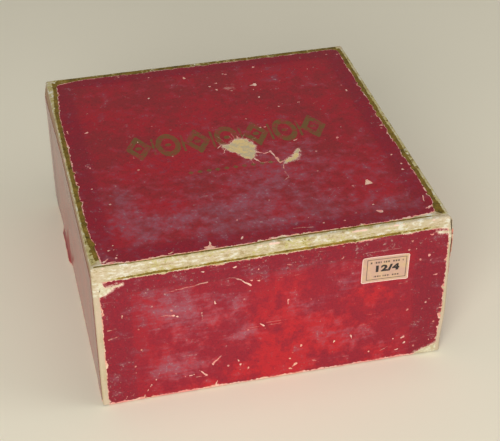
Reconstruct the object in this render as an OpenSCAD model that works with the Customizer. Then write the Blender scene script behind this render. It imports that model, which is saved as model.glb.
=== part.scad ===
// Set-up game box: a full-depth lid over a tray.
// Both are strawboard blanks, scored on the outside and folded, held at the corners by
// linen stays and covered with papers. Gilt edging is folded over the lid's top edges.
// Origin: centre of the box's footprint, on the table. X runs left to right, Y front to back, Z up.

/* [Box] */
// Outer width of the lid, left to right
box_w = 254; // [150:1:400]
// Outer depth of the lid, front to back
box_d = 270; // [150:1:400]
// Height of the closed box above the table
box_h = 122; // [80:1:200]
// Height of the lid's rim above the table
rim_gap = 1; // [0.5:0.1:5]

/* [Board] */
// Thickness of the strawboard
board_t = 2.4; // [2:0.1:4]
// Depth of the score cut into the outside of each fold
score_d = 1.4; // [0.8:0.1:1.8]
// Gap that the folding leaves between wall ends at each corner
corner_gap = 0.2; // [0.1:0.05:0.6]
// Thickness of the white lining paper
lining_t = 0.2; // [0.1:0.05:0.4]

/* [Corner stays] */
// Thickness of the glued linen
stay_t = 0.25; // [0.1:0.05:0.5]
// Width of each leg of a stay, from the corner
stay_leg = 24; // [12:1:40]

/* [Gilt edging] */
// Thickness of the gilt paper
edging_t = 0.2; // [0.1:0.05:0.4]
// Width of the edging lying on the top, from the outer edge
edging_top = 18.5; // [12:0.5:30]
// Width of the edging hanging down the walls, from the top
edging_side = 24; // [18:0.5:35]
// Width of gilt left showing round the top panel
gilt_top = 6; // [4:0.5:10]
// Width of gilt left showing above each wall panel
gilt_side = 10.5; // [8:0.5:16]

/* [Covering papers] */
// Thickness of the red glazed paper
paper_t = 0.3; // [0.1:0.05:0.5]
// Distance from a vertical corner of the lid to a panel's edge
panel_inset = 4.5; // [4:0.5:12]
// How far a panel or wrap is turned in round a rim
turn_in = 16; // [8:1:30]
// How far a turned-in flap stops short of the inside corner
flap_relief = 1.2; // [0.8:0.1:6]

/* [Price ticket] */
// Width of the ticket
ticket_w = 34.9; // [20:0.1:45]
// Height of the ticket
ticket_h = 22.2; // [12:0.1:30]
// Thickness of the ticket
ticket_t = 0.15; // [0.1:0.05:0.3]
// Corner radius of the ticket
ticket_r = 1.5; // [0.5:0.1:4]
// Distance from the step over the right stay to the ticket's right end
ticket_side_gap = 3.7; // [1:0.1:30]
// Distance from the step over the edging down to the ticket's highest corner
ticket_top_gap = 0.7; // [0.5:0.1:10]
// Slope of the ticket, right end down
ticket_slope = 2; // [0:0.5:6]

/* [Tray] */
// Clearance between the tray's outside and the lid's turned-in paper, each side
fit_gap = 1; // [0.4:0.1:3]
// Gap left between the tray's rim and the inside of the lid's top
seat_gap = 0.1; // [0.05:0.05:0.3]
// Thickness of the paper under the tray's floor
sheet_t = 0.3; // [0.1:0.05:0.5]
// Distance from the tray board's edge to the bottom paper's edge
sheet_inset = 4; // [2:0.5:12]

/* [Hidden] */
$fn = 32;

red = "#9b2233";
gilt = "#a08434";
linen = "#dcc7a4";
straw = "#c8a873";
white = "#ebe3cd";
ticket_buff = "#e6cba8";

// The way [x, y] that each side of the box faces, and the way that each corner points
FRONT = [0, -1];
BACK = [0, 1];
LEFT = [-1, 0];
RIGHT = [1, 0];
FRONT_LEFT = FRONT + LEFT;
FRONT_RIGHT = FRONT + RIGHT;
BACK_LEFT = BACK + LEFT;
BACK_RIGHT = BACK + RIGHT;

// Room past a face that a cutting tool clears
clear = 1;
// Everything that lies on a lid wall's board where a panel laps the edging over a stay
wall_layers = stay_t + edging_t + paper_t;
// Half sizes and levels of the lid's board
lid_x = box_w / 2 - wall_layers;
lid_y = box_d / 2 - wall_layers;
lid_top = box_h - edging_t - paper_t;
lid_rim = rim_gap + paper_t;
lid_wall = lid_top - lid_rim;
// Inside face of the lid's top, which rests on the tray's rim
lid_ceiling = lid_top - board_t - lining_t;
// Everything between the lid board's outside and the tray board's outside
nest = board_t + lining_t + paper_t + fit_gap + paper_t + stay_t;
tray_x = lid_x - nest;
tray_y = lid_y - nest;
tray_floor = sheet_t + paper_t;
tray_rim = lid_ceiling - seat_gap - paper_t;
tray_wall = tray_rim - tray_floor;

// Of a box with half sizes x by y: half the length of one side, and that side's distance
// from the middle
function side_half(side, x, y) = abs(side * [y, x]);
function side_dist(side, x, y) = abs(side * [x, y]);
// Turn about Z that carries what is drawn on +Y to a side
function side_turn(side) = atan2(side[1], side[0]) - atan2(BACK[1], BACK[0]);
// Half width of a turned-in flap: short of the inside corner and of the panel it belongs to
function flap_half(half_len, panel_half) =
    min(panel_half, half_len - board_t - lining_t - paper_t - flap_relief);

// Box from one corner point to the other
module span(low, high) {
    translate(low) cube(high - low);
}

// Rectangle of half sizes x by y with round corners
module round_rect(x, y, r) {
    square([2 * (x - r), 2 * y], center = true);
    square([2 * x, 2 * (y - r)], center = true);
    for (sx = [-1, 1], sy = [-1, 1])
        translate([sx * (x - r), sy * (y - r)]) circle(r);
}

// The square at one corner of a rectangle that a stay's leg reaches over
module corner_zone(x, y, corner, leg) {
    translate([corner[0] * x, corner[1] * y])
        square(2 * leg, center = true);
}

// Turns a wall that is drawn on +Y, outward from y = 0, onto one side of a box
module on_side(side, x, y) {
    rotate([0, 0, side_turn(side)]) translate([0, side_dist(side, x, y), 0]) children();
}

// A scored blank folded up into a tray: a floor and four walls, open at the top.
// Each fold is a score cut score_d deep on the outside that opens into a square notch,
// with the uncut inner skin left as the hinge.
module folded_blank(x, y, height) {
    fold_x = x - score_d;
    fold_y = y - score_d;
    end_x = x - board_t - corner_gap;
    span([-fold_x, -fold_y, 0], [fold_x, fold_y, board_t]);
    for (s = [0, 1]) mirror([s, 0, 0])
        span([x - board_t, -fold_y, score_d], [x, fold_y, height]);
    for (s = [0, 1]) mirror([0, s, 0])
        span([-end_x, y - board_t, score_d], [end_x, y, height]);
}

// Thin paper on the inside of a folded blank, folded with it
module folded_lining(x, y, height) {
    in_x = x - board_t;
    in_y = y - board_t;
    end_x = in_x - lining_t - corner_gap;
    span([-in_x, -in_y, board_t], [in_x, in_y, board_t + lining_t]);
    for (s = [0, 1]) mirror([s, 0, 0])
        span([in_x - lining_t, -in_y, board_t], [in_x, in_y, height]);
    for (s = [0, 1]) mirror([0, s, 0])
        span([-end_x, in_y - lining_t, board_t], [end_x, in_y, height]);
}

// Outlines of the four stays round a board of half sizes x by y
module stay_ring(x, y) {
    difference() {
        round_rect(x + stay_t, y + stay_t, score_d + stay_t);
        round_rect(x, y, score_d);
    }
}

// One linen stay, bent round a vertical corner of a board
module stay(x, y, corner, z0, z1) {
    translate([0, 0, z0]) linear_extrude(z1 - z0) intersection() {
        stay_ring(x, y);
        corner_zone(x, y, corner, stay_leg);
    }
}

// A body with half sizes x by y and its top at z, whose vertical corners have the radius
// r and whose top edges have the radius r_top
module eased_body(x, y, z, r, r_top, depth) {
    intersection() {
        translate([0, 0, z - depth]) linear_extrude(depth) round_rect(x, y, r);
        rotate([90, 0, 90]) translate([0, 0, -x]) linear_extrude(2 * x) eased_section(y, z, r_top, depth);
        rotate([90, 0, 0]) translate([0, 0, -y]) linear_extrude(2 * y) eased_section(x, z, r_top, depth);
    }
}

// Upright section of such a body: square below, with round top corners
module eased_section(half, z, r_top, depth) {
    translate([-half, z - depth]) square([2 * half, depth - r_top]);
    translate([-(half - r_top), z - depth]) square([2 * (half - r_top), depth]);
    for (s = [-1, 1]) translate([s * (half - r_top), z - r_top]) circle(r_top);
}

// Outline of one strip with mitred ends, along the side on +Y of a rectangle of half sizes
// half_len by half_dist, and as wide as depth
module mitred_strip(half_len, half_dist, depth) {
    polygon([
        [-half_len - clear, half_dist + clear],
        [half_len + clear, half_dist + clear],
        [half_len - depth, half_dist - depth],
        [depth - half_len, half_dist - depth]
    ]);
}

// One strip of gilt edging: half on the top, half on a wall, mitred at both ends
module edging(side) {
    out_x = lid_x + stay_t + edging_t;
    out_y = lid_y + stay_t + edging_t;
    out_z = lid_top + edging_t;
    low = box_h - edging_side;
    difference() {
        intersection() {
            eased_body(out_x, out_y, out_z, score_d + stay_t + edging_t, score_d + edging_t, out_z - low);
            translate([0, 0, low - clear]) linear_extrude(box_h) rotate(side_turn(side))
                mitred_strip(side_half(side, out_x, out_y), side_dist(side, out_x, out_y), edging_top - paper_t);
        }
        eased_body(lid_x, lid_y, lid_top, score_d, score_d, lid_top - low + clear);
        lid_stays();
    }
}

module lid_stay(corner) {
    stay(lid_x, lid_y, corner, lid_rim, lid_top - score_d);
}

module lid_stays() {
    for (sx = [-1, 1], sy = [-1, 1]) lid_stay([sx, sy]);
}

// Red panel of one lid wall. It lies on the board, steps up over the two stays and over the
// edging, passes under the rim and is turned in. Drawn on +Y, outward from the board's face.
module wall_panel(half_len) {
    half = half_len + stay_t + edging_t + paper_t - panel_inset;
    flap = flap_half(half_len, half);
    top = box_h - gilt_side;
    edging_low = box_h - edging_side;
    stay_edge = half_len - stay_leg;
    inner = board_t + lining_t;
    difference() {
        union() {
            span([-half, 0, rim_gap], [half, paper_t, top]);
            for (s = [0, 1]) mirror([s, 0, 0])
                span([stay_edge - paper_t, 0, rim_gap], [half, stay_t + paper_t, top]);
            span([-half, 0, edging_low - paper_t], [half, wall_layers, top]);
            span([-flap, -inner - paper_t, rim_gap], [flap, paper_t, lid_rim]);
            span([-flap, -inner - paper_t, rim_gap], [flap, -inner, rim_gap + turn_in]);
        }
        for (s = [0, 1]) mirror([s, 0, 0])
            span([stay_edge, 0, lid_rim], [half + clear, stay_t, top + clear]);
        span([-half - clear, -clear, edging_low], [half + clear, stay_t + edging_t, top + clear]);
    }
}

// Red panel on the top, stepping up over the edging on all four sides
module top_panel() {
    x = box_w / 2 - gilt_top;
    y = box_d / 2 - gilt_top;
    under_x = box_w / 2 - edging_top;
    under_y = box_d / 2 - edging_top;
    difference() {
        span([-x, -y, lid_top], [x, y, box_h]);
        difference() {
            span([-x - clear, -y - clear, lid_top - clear], [x + clear, y + clear, lid_top + edging_t]);
            span([-under_x, -under_y, lid_top - 2 * clear], [under_x, under_y, box_h]);
        }
        span([paper_t - under_x, paper_t - under_y, lid_top + paper_t],
            [under_x - paper_t, under_y - paper_t, box_h + clear]);
    }
}

// Printed price ticket, gummed onto the front panel. It slopes, so its corners reach
// half_w sideways and half_h up from its centre.
module ticket() {
    half_w = (ticket_w * cos(ticket_slope) + ticket_h * sin(ticket_slope)) / 2;
    half_h = (ticket_h * cos(ticket_slope) + ticket_w * sin(ticket_slope)) / 2;
    x = lid_x - stay_leg - paper_t - ticket_side_gap - half_w;
    z = box_h - edging_side - paper_t - ticket_top_gap - half_h;
    translate([x, -lid_y - paper_t, z]) rotate([90, ticket_slope, 0])
        linear_extrude(ticket_t) round_rect(ticket_w / 2, ticket_h / 2, ticket_r);
}

// The four corners of the tray that its stays cover, and the wrap's riser beside them
module tray_corner_zones(leg) {
    for (sx = [-1, 1], sy = [-1, 1]) corner_zone(tray_x, tray_y, [sx, sy], leg);
}

// Outer outline of the paper round the tray: on the board between the stays, and over them
module wrap_outside() {
    round_rect(tray_x + paper_t, tray_y + paper_t, score_d + paper_t);
    intersection() {
        round_rect(tray_x + stay_t + paper_t, tray_y + stay_t + paper_t, score_d + stay_t + paper_t);
        tray_corner_zones(stay_leg + paper_t);
    }
}

// Section through the paper round the tray's walls
module wrap_wall() {
    difference() {
        wrap_outside();
        round_rect(tray_x, tray_y, score_d);
        intersection() {
            stay_ring(tray_x, tray_y);
            tray_corner_zones(stay_leg);
        }
    }
}

// The wrap where it is folded in over the rim of the board and its lining
module wrap_rim() {
    inside = board_t + lining_t + paper_t;
    difference() {
        wrap_outside();
        square([2 * (tray_x - inside), 2 * (tray_y - inside)], center = true);
    }
}

// The wrap's two flaps on one side: hanging down inside the rim, and mitred under the floor.
// Drawn on +Y, outward from the board's face.
module wrap_flaps(half_len) {
    hanging = flap_half(half_len, half_len);
    under = half_len - flap_relief;
    inner = board_t + lining_t;
    span([-hanging, -inner - paper_t, tray_rim - turn_in], [hanging, -inner, tray_rim + paper_t]);
    translate([0, 0, tray_floor - paper_t]) linear_extrude(paper_t) polygon([
        [-under, paper_t],
        [under, paper_t],
        [under - turn_in, -turn_in],
        [turn_in - under, -turn_in]
    ]);
}

module tray_wrap() {
    color(red) union() {
        translate([0, 0, tray_floor - paper_t]) linear_extrude(tray_wall + 2 * paper_t) wrap_wall();
        translate([0, 0, tray_rim]) linear_extrude(paper_t) wrap_rim();
        for (side = [FRONT, BACK, LEFT, RIGHT])
            on_side(side, tray_x, tray_y) wrap_flaps(side_half(side, tray_x, tray_y));
    }
}

// Plain paper under the tray's floor. It fills the space between the wrap's flaps and laps over them.
module bottom_sheet() {
    x = tray_x - sheet_inset;
    y = tray_y - sheet_inset;
    span([-x, -y, 0], [x, y, sheet_t]);
    span([turn_in - tray_x, turn_in - tray_y, 0], [tray_x - turn_in, tray_y - turn_in, tray_floor]);
}

module lid_board() {
    color(straw) translate([0, 0, lid_top]) mirror([0, 0, 1]) folded_blank(lid_x, lid_y, lid_wall);
}

module lid_lining() {
    color(white) translate([0, 0, lid_top]) mirror([0, 0, 1]) folded_lining(lid_x, lid_y, lid_wall);
}

module tray_board() {
    color(straw) translate([0, 0, tray_floor]) folded_blank(tray_x, tray_y, tray_wall);
}

module tray_lining() {
    color(white) translate([0, 0, tray_floor]) folded_lining(tray_x, tray_y, tray_wall);
}

module tray_stay(corner) {
    stay(tray_x, tray_y, corner, tray_floor, tray_rim);
}

module side_paper(side) {
    color(red) on_side(side, lid_x, lid_y) wall_panel(side_half(side, lid_x, lid_y));
}

lid_board();
lid_lining();
color(linen) lid_stay(FRONT_LEFT);  // lid_stay_front_left
color(linen) lid_stay(FRONT_RIGHT);  // lid_stay_front_right
color(linen) lid_stay(BACK_LEFT);  // lid_stay_back_left
color(linen) lid_stay(BACK_RIGHT);  // lid_stay_back_right
color(gilt) edging(FRONT);  // edging_front
color(gilt) edging(BACK);  // edging_back
color(gilt) edging(LEFT);  // edging_left
color(gilt) edging(RIGHT);  // edging_right
color(red) top_panel();  // top_paper
side_paper(FRONT);  // front_paper
side_paper(BACK);  // back_paper
side_paper(LEFT);  // left_paper
side_paper(RIGHT);  // right_paper
color(ticket_buff) ticket();  // price_ticket
tray_board();
tray_lining();
color(linen) tray_stay(FRONT_LEFT);  // tray_stay_front_left
color(linen) tray_stay(FRONT_RIGHT);  // tray_stay_front_right
color(linen) tray_stay(BACK_LEFT);  // tray_stay_back_left
color(linen) tray_stay(BACK_RIGHT);  // tray_stay_back_right
tray_wrap();
color(white) bottom_sheet();  // tray_bottom_paper
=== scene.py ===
"""Looks of a worn set-up game box: red papers, gilt edging and linen stays round its boards."""

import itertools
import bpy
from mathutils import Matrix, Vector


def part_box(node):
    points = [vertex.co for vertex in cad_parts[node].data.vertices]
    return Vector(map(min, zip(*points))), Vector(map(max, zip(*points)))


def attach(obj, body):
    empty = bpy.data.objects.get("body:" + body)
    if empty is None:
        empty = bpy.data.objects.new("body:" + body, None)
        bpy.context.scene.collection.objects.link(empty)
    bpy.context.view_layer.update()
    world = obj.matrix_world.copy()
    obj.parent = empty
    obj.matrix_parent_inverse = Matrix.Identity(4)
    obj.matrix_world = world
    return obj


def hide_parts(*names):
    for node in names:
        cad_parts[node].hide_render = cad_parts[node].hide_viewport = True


bl_info = {
    "name": "Worn Set-up Game Box",
    "version": (1, 0, 0),
    "blender": (4, 5, 0),
    "location": "View3D > Sidebar > Game Box",
    "description": "Papers, gilt edging, linen stays and finishes of an old full-depth game box",
    "category": "Add Mesh",
}

from types import SimpleNamespace

import bmesh
import bpy
import numpy as np
from bpy.props import FloatProperty, FloatVectorProperty, IntProperty, PointerProperty
from mathutils import Matrix, Vector

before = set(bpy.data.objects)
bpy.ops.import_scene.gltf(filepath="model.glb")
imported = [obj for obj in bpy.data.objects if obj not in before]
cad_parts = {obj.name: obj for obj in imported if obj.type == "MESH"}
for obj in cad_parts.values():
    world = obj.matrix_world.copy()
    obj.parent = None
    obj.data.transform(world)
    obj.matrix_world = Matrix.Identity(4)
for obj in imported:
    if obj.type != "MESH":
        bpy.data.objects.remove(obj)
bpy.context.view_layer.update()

MM = 0.001


# ---------------------------------------------------------------- sizes read from the frame


def node_mm(name):
    """Lowest and highest corner of a CAD node, in millimetres."""
    low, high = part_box(name)
    return np.array(low) / MM, np.array(high) / MM


BOARD_LOW, BOARD_HIGH = node_mm("lid_board")
STAY_LOW, STAY_HIGH = node_mm("lid_stay_back_right")
EDGING_LOW, EDGING_HIGH = node_mm("edging_right")
TOP_LOW, TOP_HIGH = node_mm("top_paper")
FRONT_LOW, FRONT_HIGH = node_mm("front_paper")
TICKET_LOW, TICKET_HIGH = node_mm("price_ticket")

# Thicknesses of what is glued to the board
PAPER = BOARD_LOW[2] - FRONT_LOW[2]
STAY = STAY_HIGH[0] - BOARD_HIGH[0]
EDGING = EDGING_HIGH[2] - BOARD_HIGH[2]
# Outside of the gilt edging, and the radii round which it turns a vertical corner and an arris
GILT_X = BOARD_HIGH[0] + STAY + EDGING
GILT_Y = BOARD_HIGH[1] + STAY + EDGING
GILT_TOP = EDGING_HIGH[2]
CORNER_R = 1.85
ARRIS_R = 1.6
# How far a stay reaches from its corner, and the width of the edging's flange on the top
STAY_LEG = BOARD_HIGH[0] - STAY_LOW[0]
FLANGE = EDGING_HIGH[0] - EDGING_LOW[0]
# Gilt that shows beside the top paper and above the wall papers
TOP_GAP = GILT_X - TOP_HIGH[0]
SIDE_GAP = GILT_TOP - FRONT_HIGH[2]
# Face of a wall paper where it is turned in, out from the board's face
INNER_FACE = node_mm("right_paper")[0][0] - BOARD_HIGH[0]

# Each side of the box: the way it faces, and the way its own s axis runs seen from outside
SIDES = {
    "front": (np.array([0, -1.0]), np.array([1.0, 0])),
    "back": (np.array([0, 1.0]), np.array([-1.0, 0])),
    "left": (np.array([-1.0, 0]), np.array([0, -1.0])),
    "right": (np.array([1.0, 0]), np.array([0, 1.0])),
}

# A distance that counts as far from any worn place, and the half width below which a mark is
# a scratch and not a scar
FAR = 9.0
THIN = 0.5
# How deep a worn place lies in the paper
SUNK = 0.12
# How far to the right of its middle the ticket is printed
PRINT_SHIFT = 0.9
# Rows of a wall paper round each of the rim's two bends, across the rim, and up inside
BEND_ROWS = 3
RIM_ROWS = 4
INNER_ROWS = 12


def paint(red, green, blue):
    """Linear colour of one given as display values from 0 to 255."""
    c = np.array([red, green, blue]) / 255
    return tuple(np.where(c <= 0.04045, c / 12.92, ((c + 0.055) / 1.055) ** 2.4))


def darker(tone, share):
    """A share of each channel of a colour."""
    return tuple(share * c for c in tone)


# Colours of wear and dirt, and of painted highlights, a painted floor reflection and painted shade
# Tan laid over the left wall's red paper: painted reflection of the floor
FLOOR_REFLECTION_TAN = paint(160, 128, 84)
DULLED_BLOCKING = paint(112, 90, 42)
DYED_CORE = paint(232, 148, 138)
WHITE_PLY = paint(226, 222, 196)
SOILED_GILT = paint(160, 136, 88)
PALE_GILT = paint(196, 186, 116)
BRIGHT_GILT = paint(206, 178, 96)
# White for flecks on the gilt: painted highlights
GILT_HIGHLIGHT_WHITE = paint(228, 224, 206)
# Tan for the gilt flange down the left wall: painted shade
LEFT_WALL_SHADE = paint(176, 144, 112)
# Painted shade between the linen's threads
THREAD_SHADE = (0.20, 0.13, 0.08)
FOXING = (0.36, 0.20, 0.09)
TICKET_RIM = paint(250, 216, 206)


# ---------------------------------------------------------------- what a user would change


def colour(name, description, *display):
    """One colour in a property group."""
    return FloatVectorProperty(
        name=name, description=description, default=paint(*display), size=3, min=0, max=1,
        subtype="COLOR",
    )


def length(name, description, default, low, high):
    """One length in a property group, in millimetres."""
    return FloatProperty(
        name=name, description=description + ", mm", default=default, min=low, max=high
    )


def angle(name, description, degrees, **limits):
    """One angle in a property group."""
    return FloatProperty(
        name=name, description=description, default=np.radians(degrees), subtype="ANGLE",
        unit="ROTATION", **limits,
    )


class GameBoxColours(bpy.types.PropertyGroup):
    """Colours of the papers, the gilt, the cloth and the boards."""

    crimson: colour("Crimson", "Red glazed paper where it is cool and deep", 148, 22, 44)
    browned: colour("Browned", "Red glazed paper on the top, browned by light", 150, 36, 42)
    scarlet: colour("Scarlet", "Red glazed paper where it has warmed", 190, 29, 41)
    # Also the colour towards which depth darkens the top and side papers, as painted shade
    shade: colour("Shade", "Red glazed paper in its clean, dark margins", 122, 16, 42)
    chalk: colour("Chalk", "Rubbed haze that lies on the red", 150, 104, 118)
    core: colour("Core", "Pale core of the paper where the red is scuffed off", 240, 200, 182)
    buff: colour("Buff", "Backing where a label or the paper is torn away", 230, 200, 138)
    gilt: colour("Gilt", "Dulled gilt of the edging", 160, 130, 46)
    cream: colour("Cream", "Edging whose gilt has worn off", 200, 184, 148)
    linen: colour("Linen", "Cloth of the corner stays", 208, 188, 160)
    straw: colour("Straw", "Strawboard", 196, 164, 112)
    lining: colour("Lining", "White lining paper, yellowed", 232, 222, 200)
    ticket: colour("Ticket", "Price ticket", 204, 164, 144)
    ink: colour("Ink", "Black printing ink", 38, 30, 30)
    floor: colour("Floor", "Pale floor", 250, 243, 220)


class GameBoxWear(bpy.types.PropertyGroup):
    """How far the box is worn. Lengths are in millimetres."""

    nibble: length("Nibble", "Depth of the nicks in a paper's edge", 1.0, 0, 3)
    fringe: length("Fringe", "Width of the scuffed line along a paper's edge", 0.55, 0, 3)
    chalk: FloatProperty(
        name="Chalk", description="Strength of the rubbed haze", default=1.0, min=0, max=1,
        subtype="FACTOR",
    )
    spring: length("Spring", "How far the front right corner has sprung out", 2.4, 0, 3)
    slope: angle("Ticket Slope", "Slope of the price ticket", 2.0, min=0, max=0.2)
    turn_in: length("Turn-in", "How far a wall paper is turned in round the rim", 16, 8, 30)
    seed: IntProperty(name="Seed", description="Start of all the random wear", default=7, min=0)


class GameBoxStudio(bpy.types.PropertyGroup):
    """Camera and light."""

    place: FloatVectorProperty(
        name="Camera Place", description="Where the camera stands",
        default=(-0.18614, -0.87386, 0.66293), subtype="TRANSLATION", unit="LENGTH",
    )
    azimuth: angle("Azimuth", "Way the camera looks, from +Y towards +X", 12.872)
    fall: angle("Fall", "How far the camera looks down", 34.441)
    roll: angle("Roll", "Turn of the camera about its own axis", -0.8335)
    lens: FloatProperty(
        name="Lens", description="Focal length, mm", default=98.72, min=20, max=300, unit="CAMERA"
    )
    key: FloatProperty(
        name="Key", description="Power of the large soft lamp", default=33, min=0, unit="POWER"
    )
    sky: FloatProperty(
        name="Sky", description="Strength of the light from all round", default=0.2, min=0
    )


# ---------------------------------------------------------------- numbers along and over a surface


def ease(t):
    """3t² - 2t³ with t held between 0 and 1."""
    t = np.clip(t, 0, 1)
    return t * t * (3 - 2 * t)


def ramp(value, low, high):
    """0 below low, 1 above high and eased between; low may be the greater."""
    return ease((value - low) / (high - low))


def grain(x, y, cell, seed, octaves=3):
    """Smooth noise from 0 to 1: random values on a lattice of squares `cell` wide, eased between.
    Each further octave halves both the squares and the weight."""
    x, y = np.broadcast_arrays(np.asarray(x, float), np.asarray(y, float))
    side = 256
    table = np.random.default_rng(seed).random((side, side))
    total = np.zeros(x.shape)
    for octave in range(octaves):
        px, py = x / cell * 2**octave + 17.3 * octave, y / cell * 2**octave - 9.1 * octave
        ix, iy = np.floor(px).astype(int), np.floor(py).astype(int)
        fx, fy = ease(px - ix), ease(py - iy)
        ix, iy, next_x, next_y = ix % side, iy % side, (ix + 1) % side, (iy + 1) % side
        near = table[ix, iy] * (1 - fx) + table[next_x, iy] * fx
        far = table[ix, next_y] * (1 - fx) + table[next_x, next_y] * fx
        total += (near * (1 - fy) + far * fy) * 0.5**octave
    return total / (2 - 0.5 ** (octaves - 1))


def ragged(x, y, seed, reach):
    """The same places shifted a little each way by smooth noise, so that what is drawn there comes
    out ragged."""
    cell = 2.4
    shift_x, shift_y = (reach * (grain(x, y, cell, seed + n) - 0.5) for n in (0, 1))
    return x + shift_x, y + shift_y


def nicks(s, seed, depth):
    """How far a torn edge stands back from its line at each s: a soft wave with sharp bites."""
    wave = 0.35 * grain(s, 0, 14, seed) + 0.45 * grain(s, 0, 2.2, seed + 1, 2)
    bites = ramp(grain(s, 0, 4.5, seed + 2, 2), 0.55, 0.85)
    return depth * (wave + 1.3 * bites)


def fringes(x, y, wear, bursts, seed, burst_seed):
    """Width of the scuffed line along a border: it wavers, and widens here and there by bursts."""
    wide = bursts * ramp(grain(x, y, 8, burst_seed), 0.55, 0.9)
    return wear.fringe * (0.2 + 0.8 * grain(x, y, 3, seed) + wide)


def spread(low, high, coarse, fine, reach, zone=(0, 0)):
    """Grid lines from low to high, `fine` apart within `reach` of both ends and inside the zone,
    and `coarse` apart elsewhere: the running total of 1 / spacing is cut into equal steps."""
    line = np.linspace(low, high, 6000)
    close = ramp(np.minimum(line - low, high - line), reach * 1.3, reach)
    if zone[1] > zone[0]:
        inside = ramp(line, zone[0] - 4, zone[0]) * ramp(line, zone[1] + 4, zone[1])
        close = np.maximum(close, inside)
    total = np.cumsum(1 / (coarse + (fine - coarse) * close)) * (line[1] - line[0])
    total -= total[0]
    return np.interp(np.linspace(0, total[-1], int(np.ceil(total[-1])) + 1), total, line)


def nearest(line, *levels):
    """Numbers of the grid lines that lie nearest to the levels."""
    return [int(np.argmin(np.abs(line - level))) for level in levels]


def capsule(x, y, mark):
    """Signed distance to a scratch: to the segment (x0, y0)-(x1, y1), less a half width that
    narrows to a third at the second end."""
    x0, y0, x1, y1, half = mark
    dx, dy = x1 - x0, y1 - y0
    along = np.clip(((x - x0) * dx + (y - y0) * dy) / max(dx * dx + dy * dy, 1e-9), 0, 1)
    return np.hypot(x - x0 - along * dx, y - y0 - along * dy) - half * (1.1 - 0.75 * along)


def outline(x, y, points):
    """Signed distance to a polygon, below 0 inside: the least distance to a side, with the sign
    from how often a line to the right crosses the sides."""
    best = np.full(x.shape, np.inf)
    inside = np.zeros(x.shape, bool)
    for (x0, y0), (x1, y1) in zip(points, points[1:] + points[:1]):
        best = np.minimum(best, capsule(x, y, (x0, y0, x1, y1, 0)))
        if y0 != y1:
            inside ^= ((y0 > y) != (y1 > y)) & (x < (x1 - x0) * (y - y0) / (y1 - y0) + x0)
    return np.where(inside, -best, best)


def nearest_of(x, y, polygons):
    """Signed distance to the nearest of several polygons."""
    return np.minimum.reduce([outline(x, y, points) for points in polygons])


def scuffed(x, y, marks, scar, scratch, shown=True):
    """Distances to the nearest scar and the nearest scratch once the marks have been added where
    they are shown."""
    for mark in marks:
        near = np.where(shown, capsule(x, y, mark), FAR)
        if mark[4] < THIN:
            scratch = np.minimum(scratch, near)
        else:
            scar = np.minimum(scar, near)
    return scar, scratch


def random_marks(count, half, low, high, seed):
    """Small scratches and flecks strewn over a sheet."""
    rng = np.random.default_rng(seed)
    s, z = rng.uniform(-half, half, count), rng.uniform(low, high, count)
    reach, turn = rng.gamma(1.2, 2.2, count), rng.uniform(-1.2, 1.2, count)
    width = rng.uniform(0.25, 0.8, count)
    return list(zip(s, z, s + reach * np.cos(turn), z + reach * np.sin(turn), width))


def clouds(x, y, places):
    """Sum of soft ellipses: strength · exp(-dx² - dy²), dx and dy in half widths and heights."""
    return sum(
        strength * np.exp(-(((x - cx) / rx) ** 2) - ((y - cy) / ry) ** 2)
        for cx, cy, rx, ry, strength in places
    )


def worn(distance, reach=1.0):
    """Field for a material: 1 on the edge of a worn place, more inside, 0 from `reach` off."""
    return np.clip(1 - distance / reach, 0, 4)


def sprung(points):
    """Points of the lid's skins with two corners sprung out. At the front right x grows by `spring`
    times an easing in z that is full from 42 mm up; at the back left x falls by 0.7 of that from
    14 mm up. Both fade along the walls away from their corner and towards the top."""
    x, y, z = np.moveaxis(points, -1, 0)
    right = ramp(z, 6, 42) * (1 - 0.72 * ramp(z, 102, 122)) * ramp(x, 92, 127) * ramp(y, 10, -130)
    left = ramp(z, 1, 14) * ramp(z, 121, 108) * ramp(x, -92, -127) * ramp(y, 20, 130)
    moved = points.copy()
    moved[..., 0] = x + bpy.context.scene.game_box_wear.spring * (right - 0.7 * left)
    return moved


# ---------------------------------------------------------------- meshes from grids


def grid(*coordinates):
    """Points from their coordinates, each of which may run over the grid one way only."""
    return np.stack(np.broadcast_arrays(*coordinates), -1)


def on_side(side, s, out, z):
    """Points by one side of the box: s along it, out from the box's middle, z up."""
    facing, along = SIDES[side]
    return grid(facing[0] * out + along[0] * s, facing[1] * out + along[1] * s, z)


def shell(face, back, kept):
    """Closed thin solid: the fine grid `face`, a `back` grid of which only the rows `kept` are used
    between its side columns, and a strip along each of the four borders. A polygon between two kept
    rows takes in every point of the side column that it meets, so that no seam is left open."""
    rows, cols = face.shape[:2]
    front = np.arange(rows * cols).reshape(rows, cols)
    behind = front + rows * cols

    def strip(a, b):
        """Quads between two lines of points, or between each two of several."""
        return np.stack([a[..., :-1], a[..., 1:], b[..., 1:], b[..., :-1]], -1)

    faces = strip(front[:-1], front[1:]).reshape(-1, 4).tolist()
    for border in ((0, slice(None)), (-1, slice(None)), (slice(None), 0), (slice(None), -1)):
        faces += strip(front[border], behind[border]).tolist()
    for high, low in zip(kept[:-1], kept[1:]):
        a, b = behind[high], behind[low]
        faces += strip(a[1:-1], b[1:-1]).tolist()
        faces.append([a[1], *behind[high : low + 1, 0].tolist(), b[1]])
        faces.append([a[-2], *behind[high : low + 1, -1].tolist(), b[-2]])
    return np.concatenate([face.reshape(-1, 3), back.reshape(-1, 3)]), faces


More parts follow.
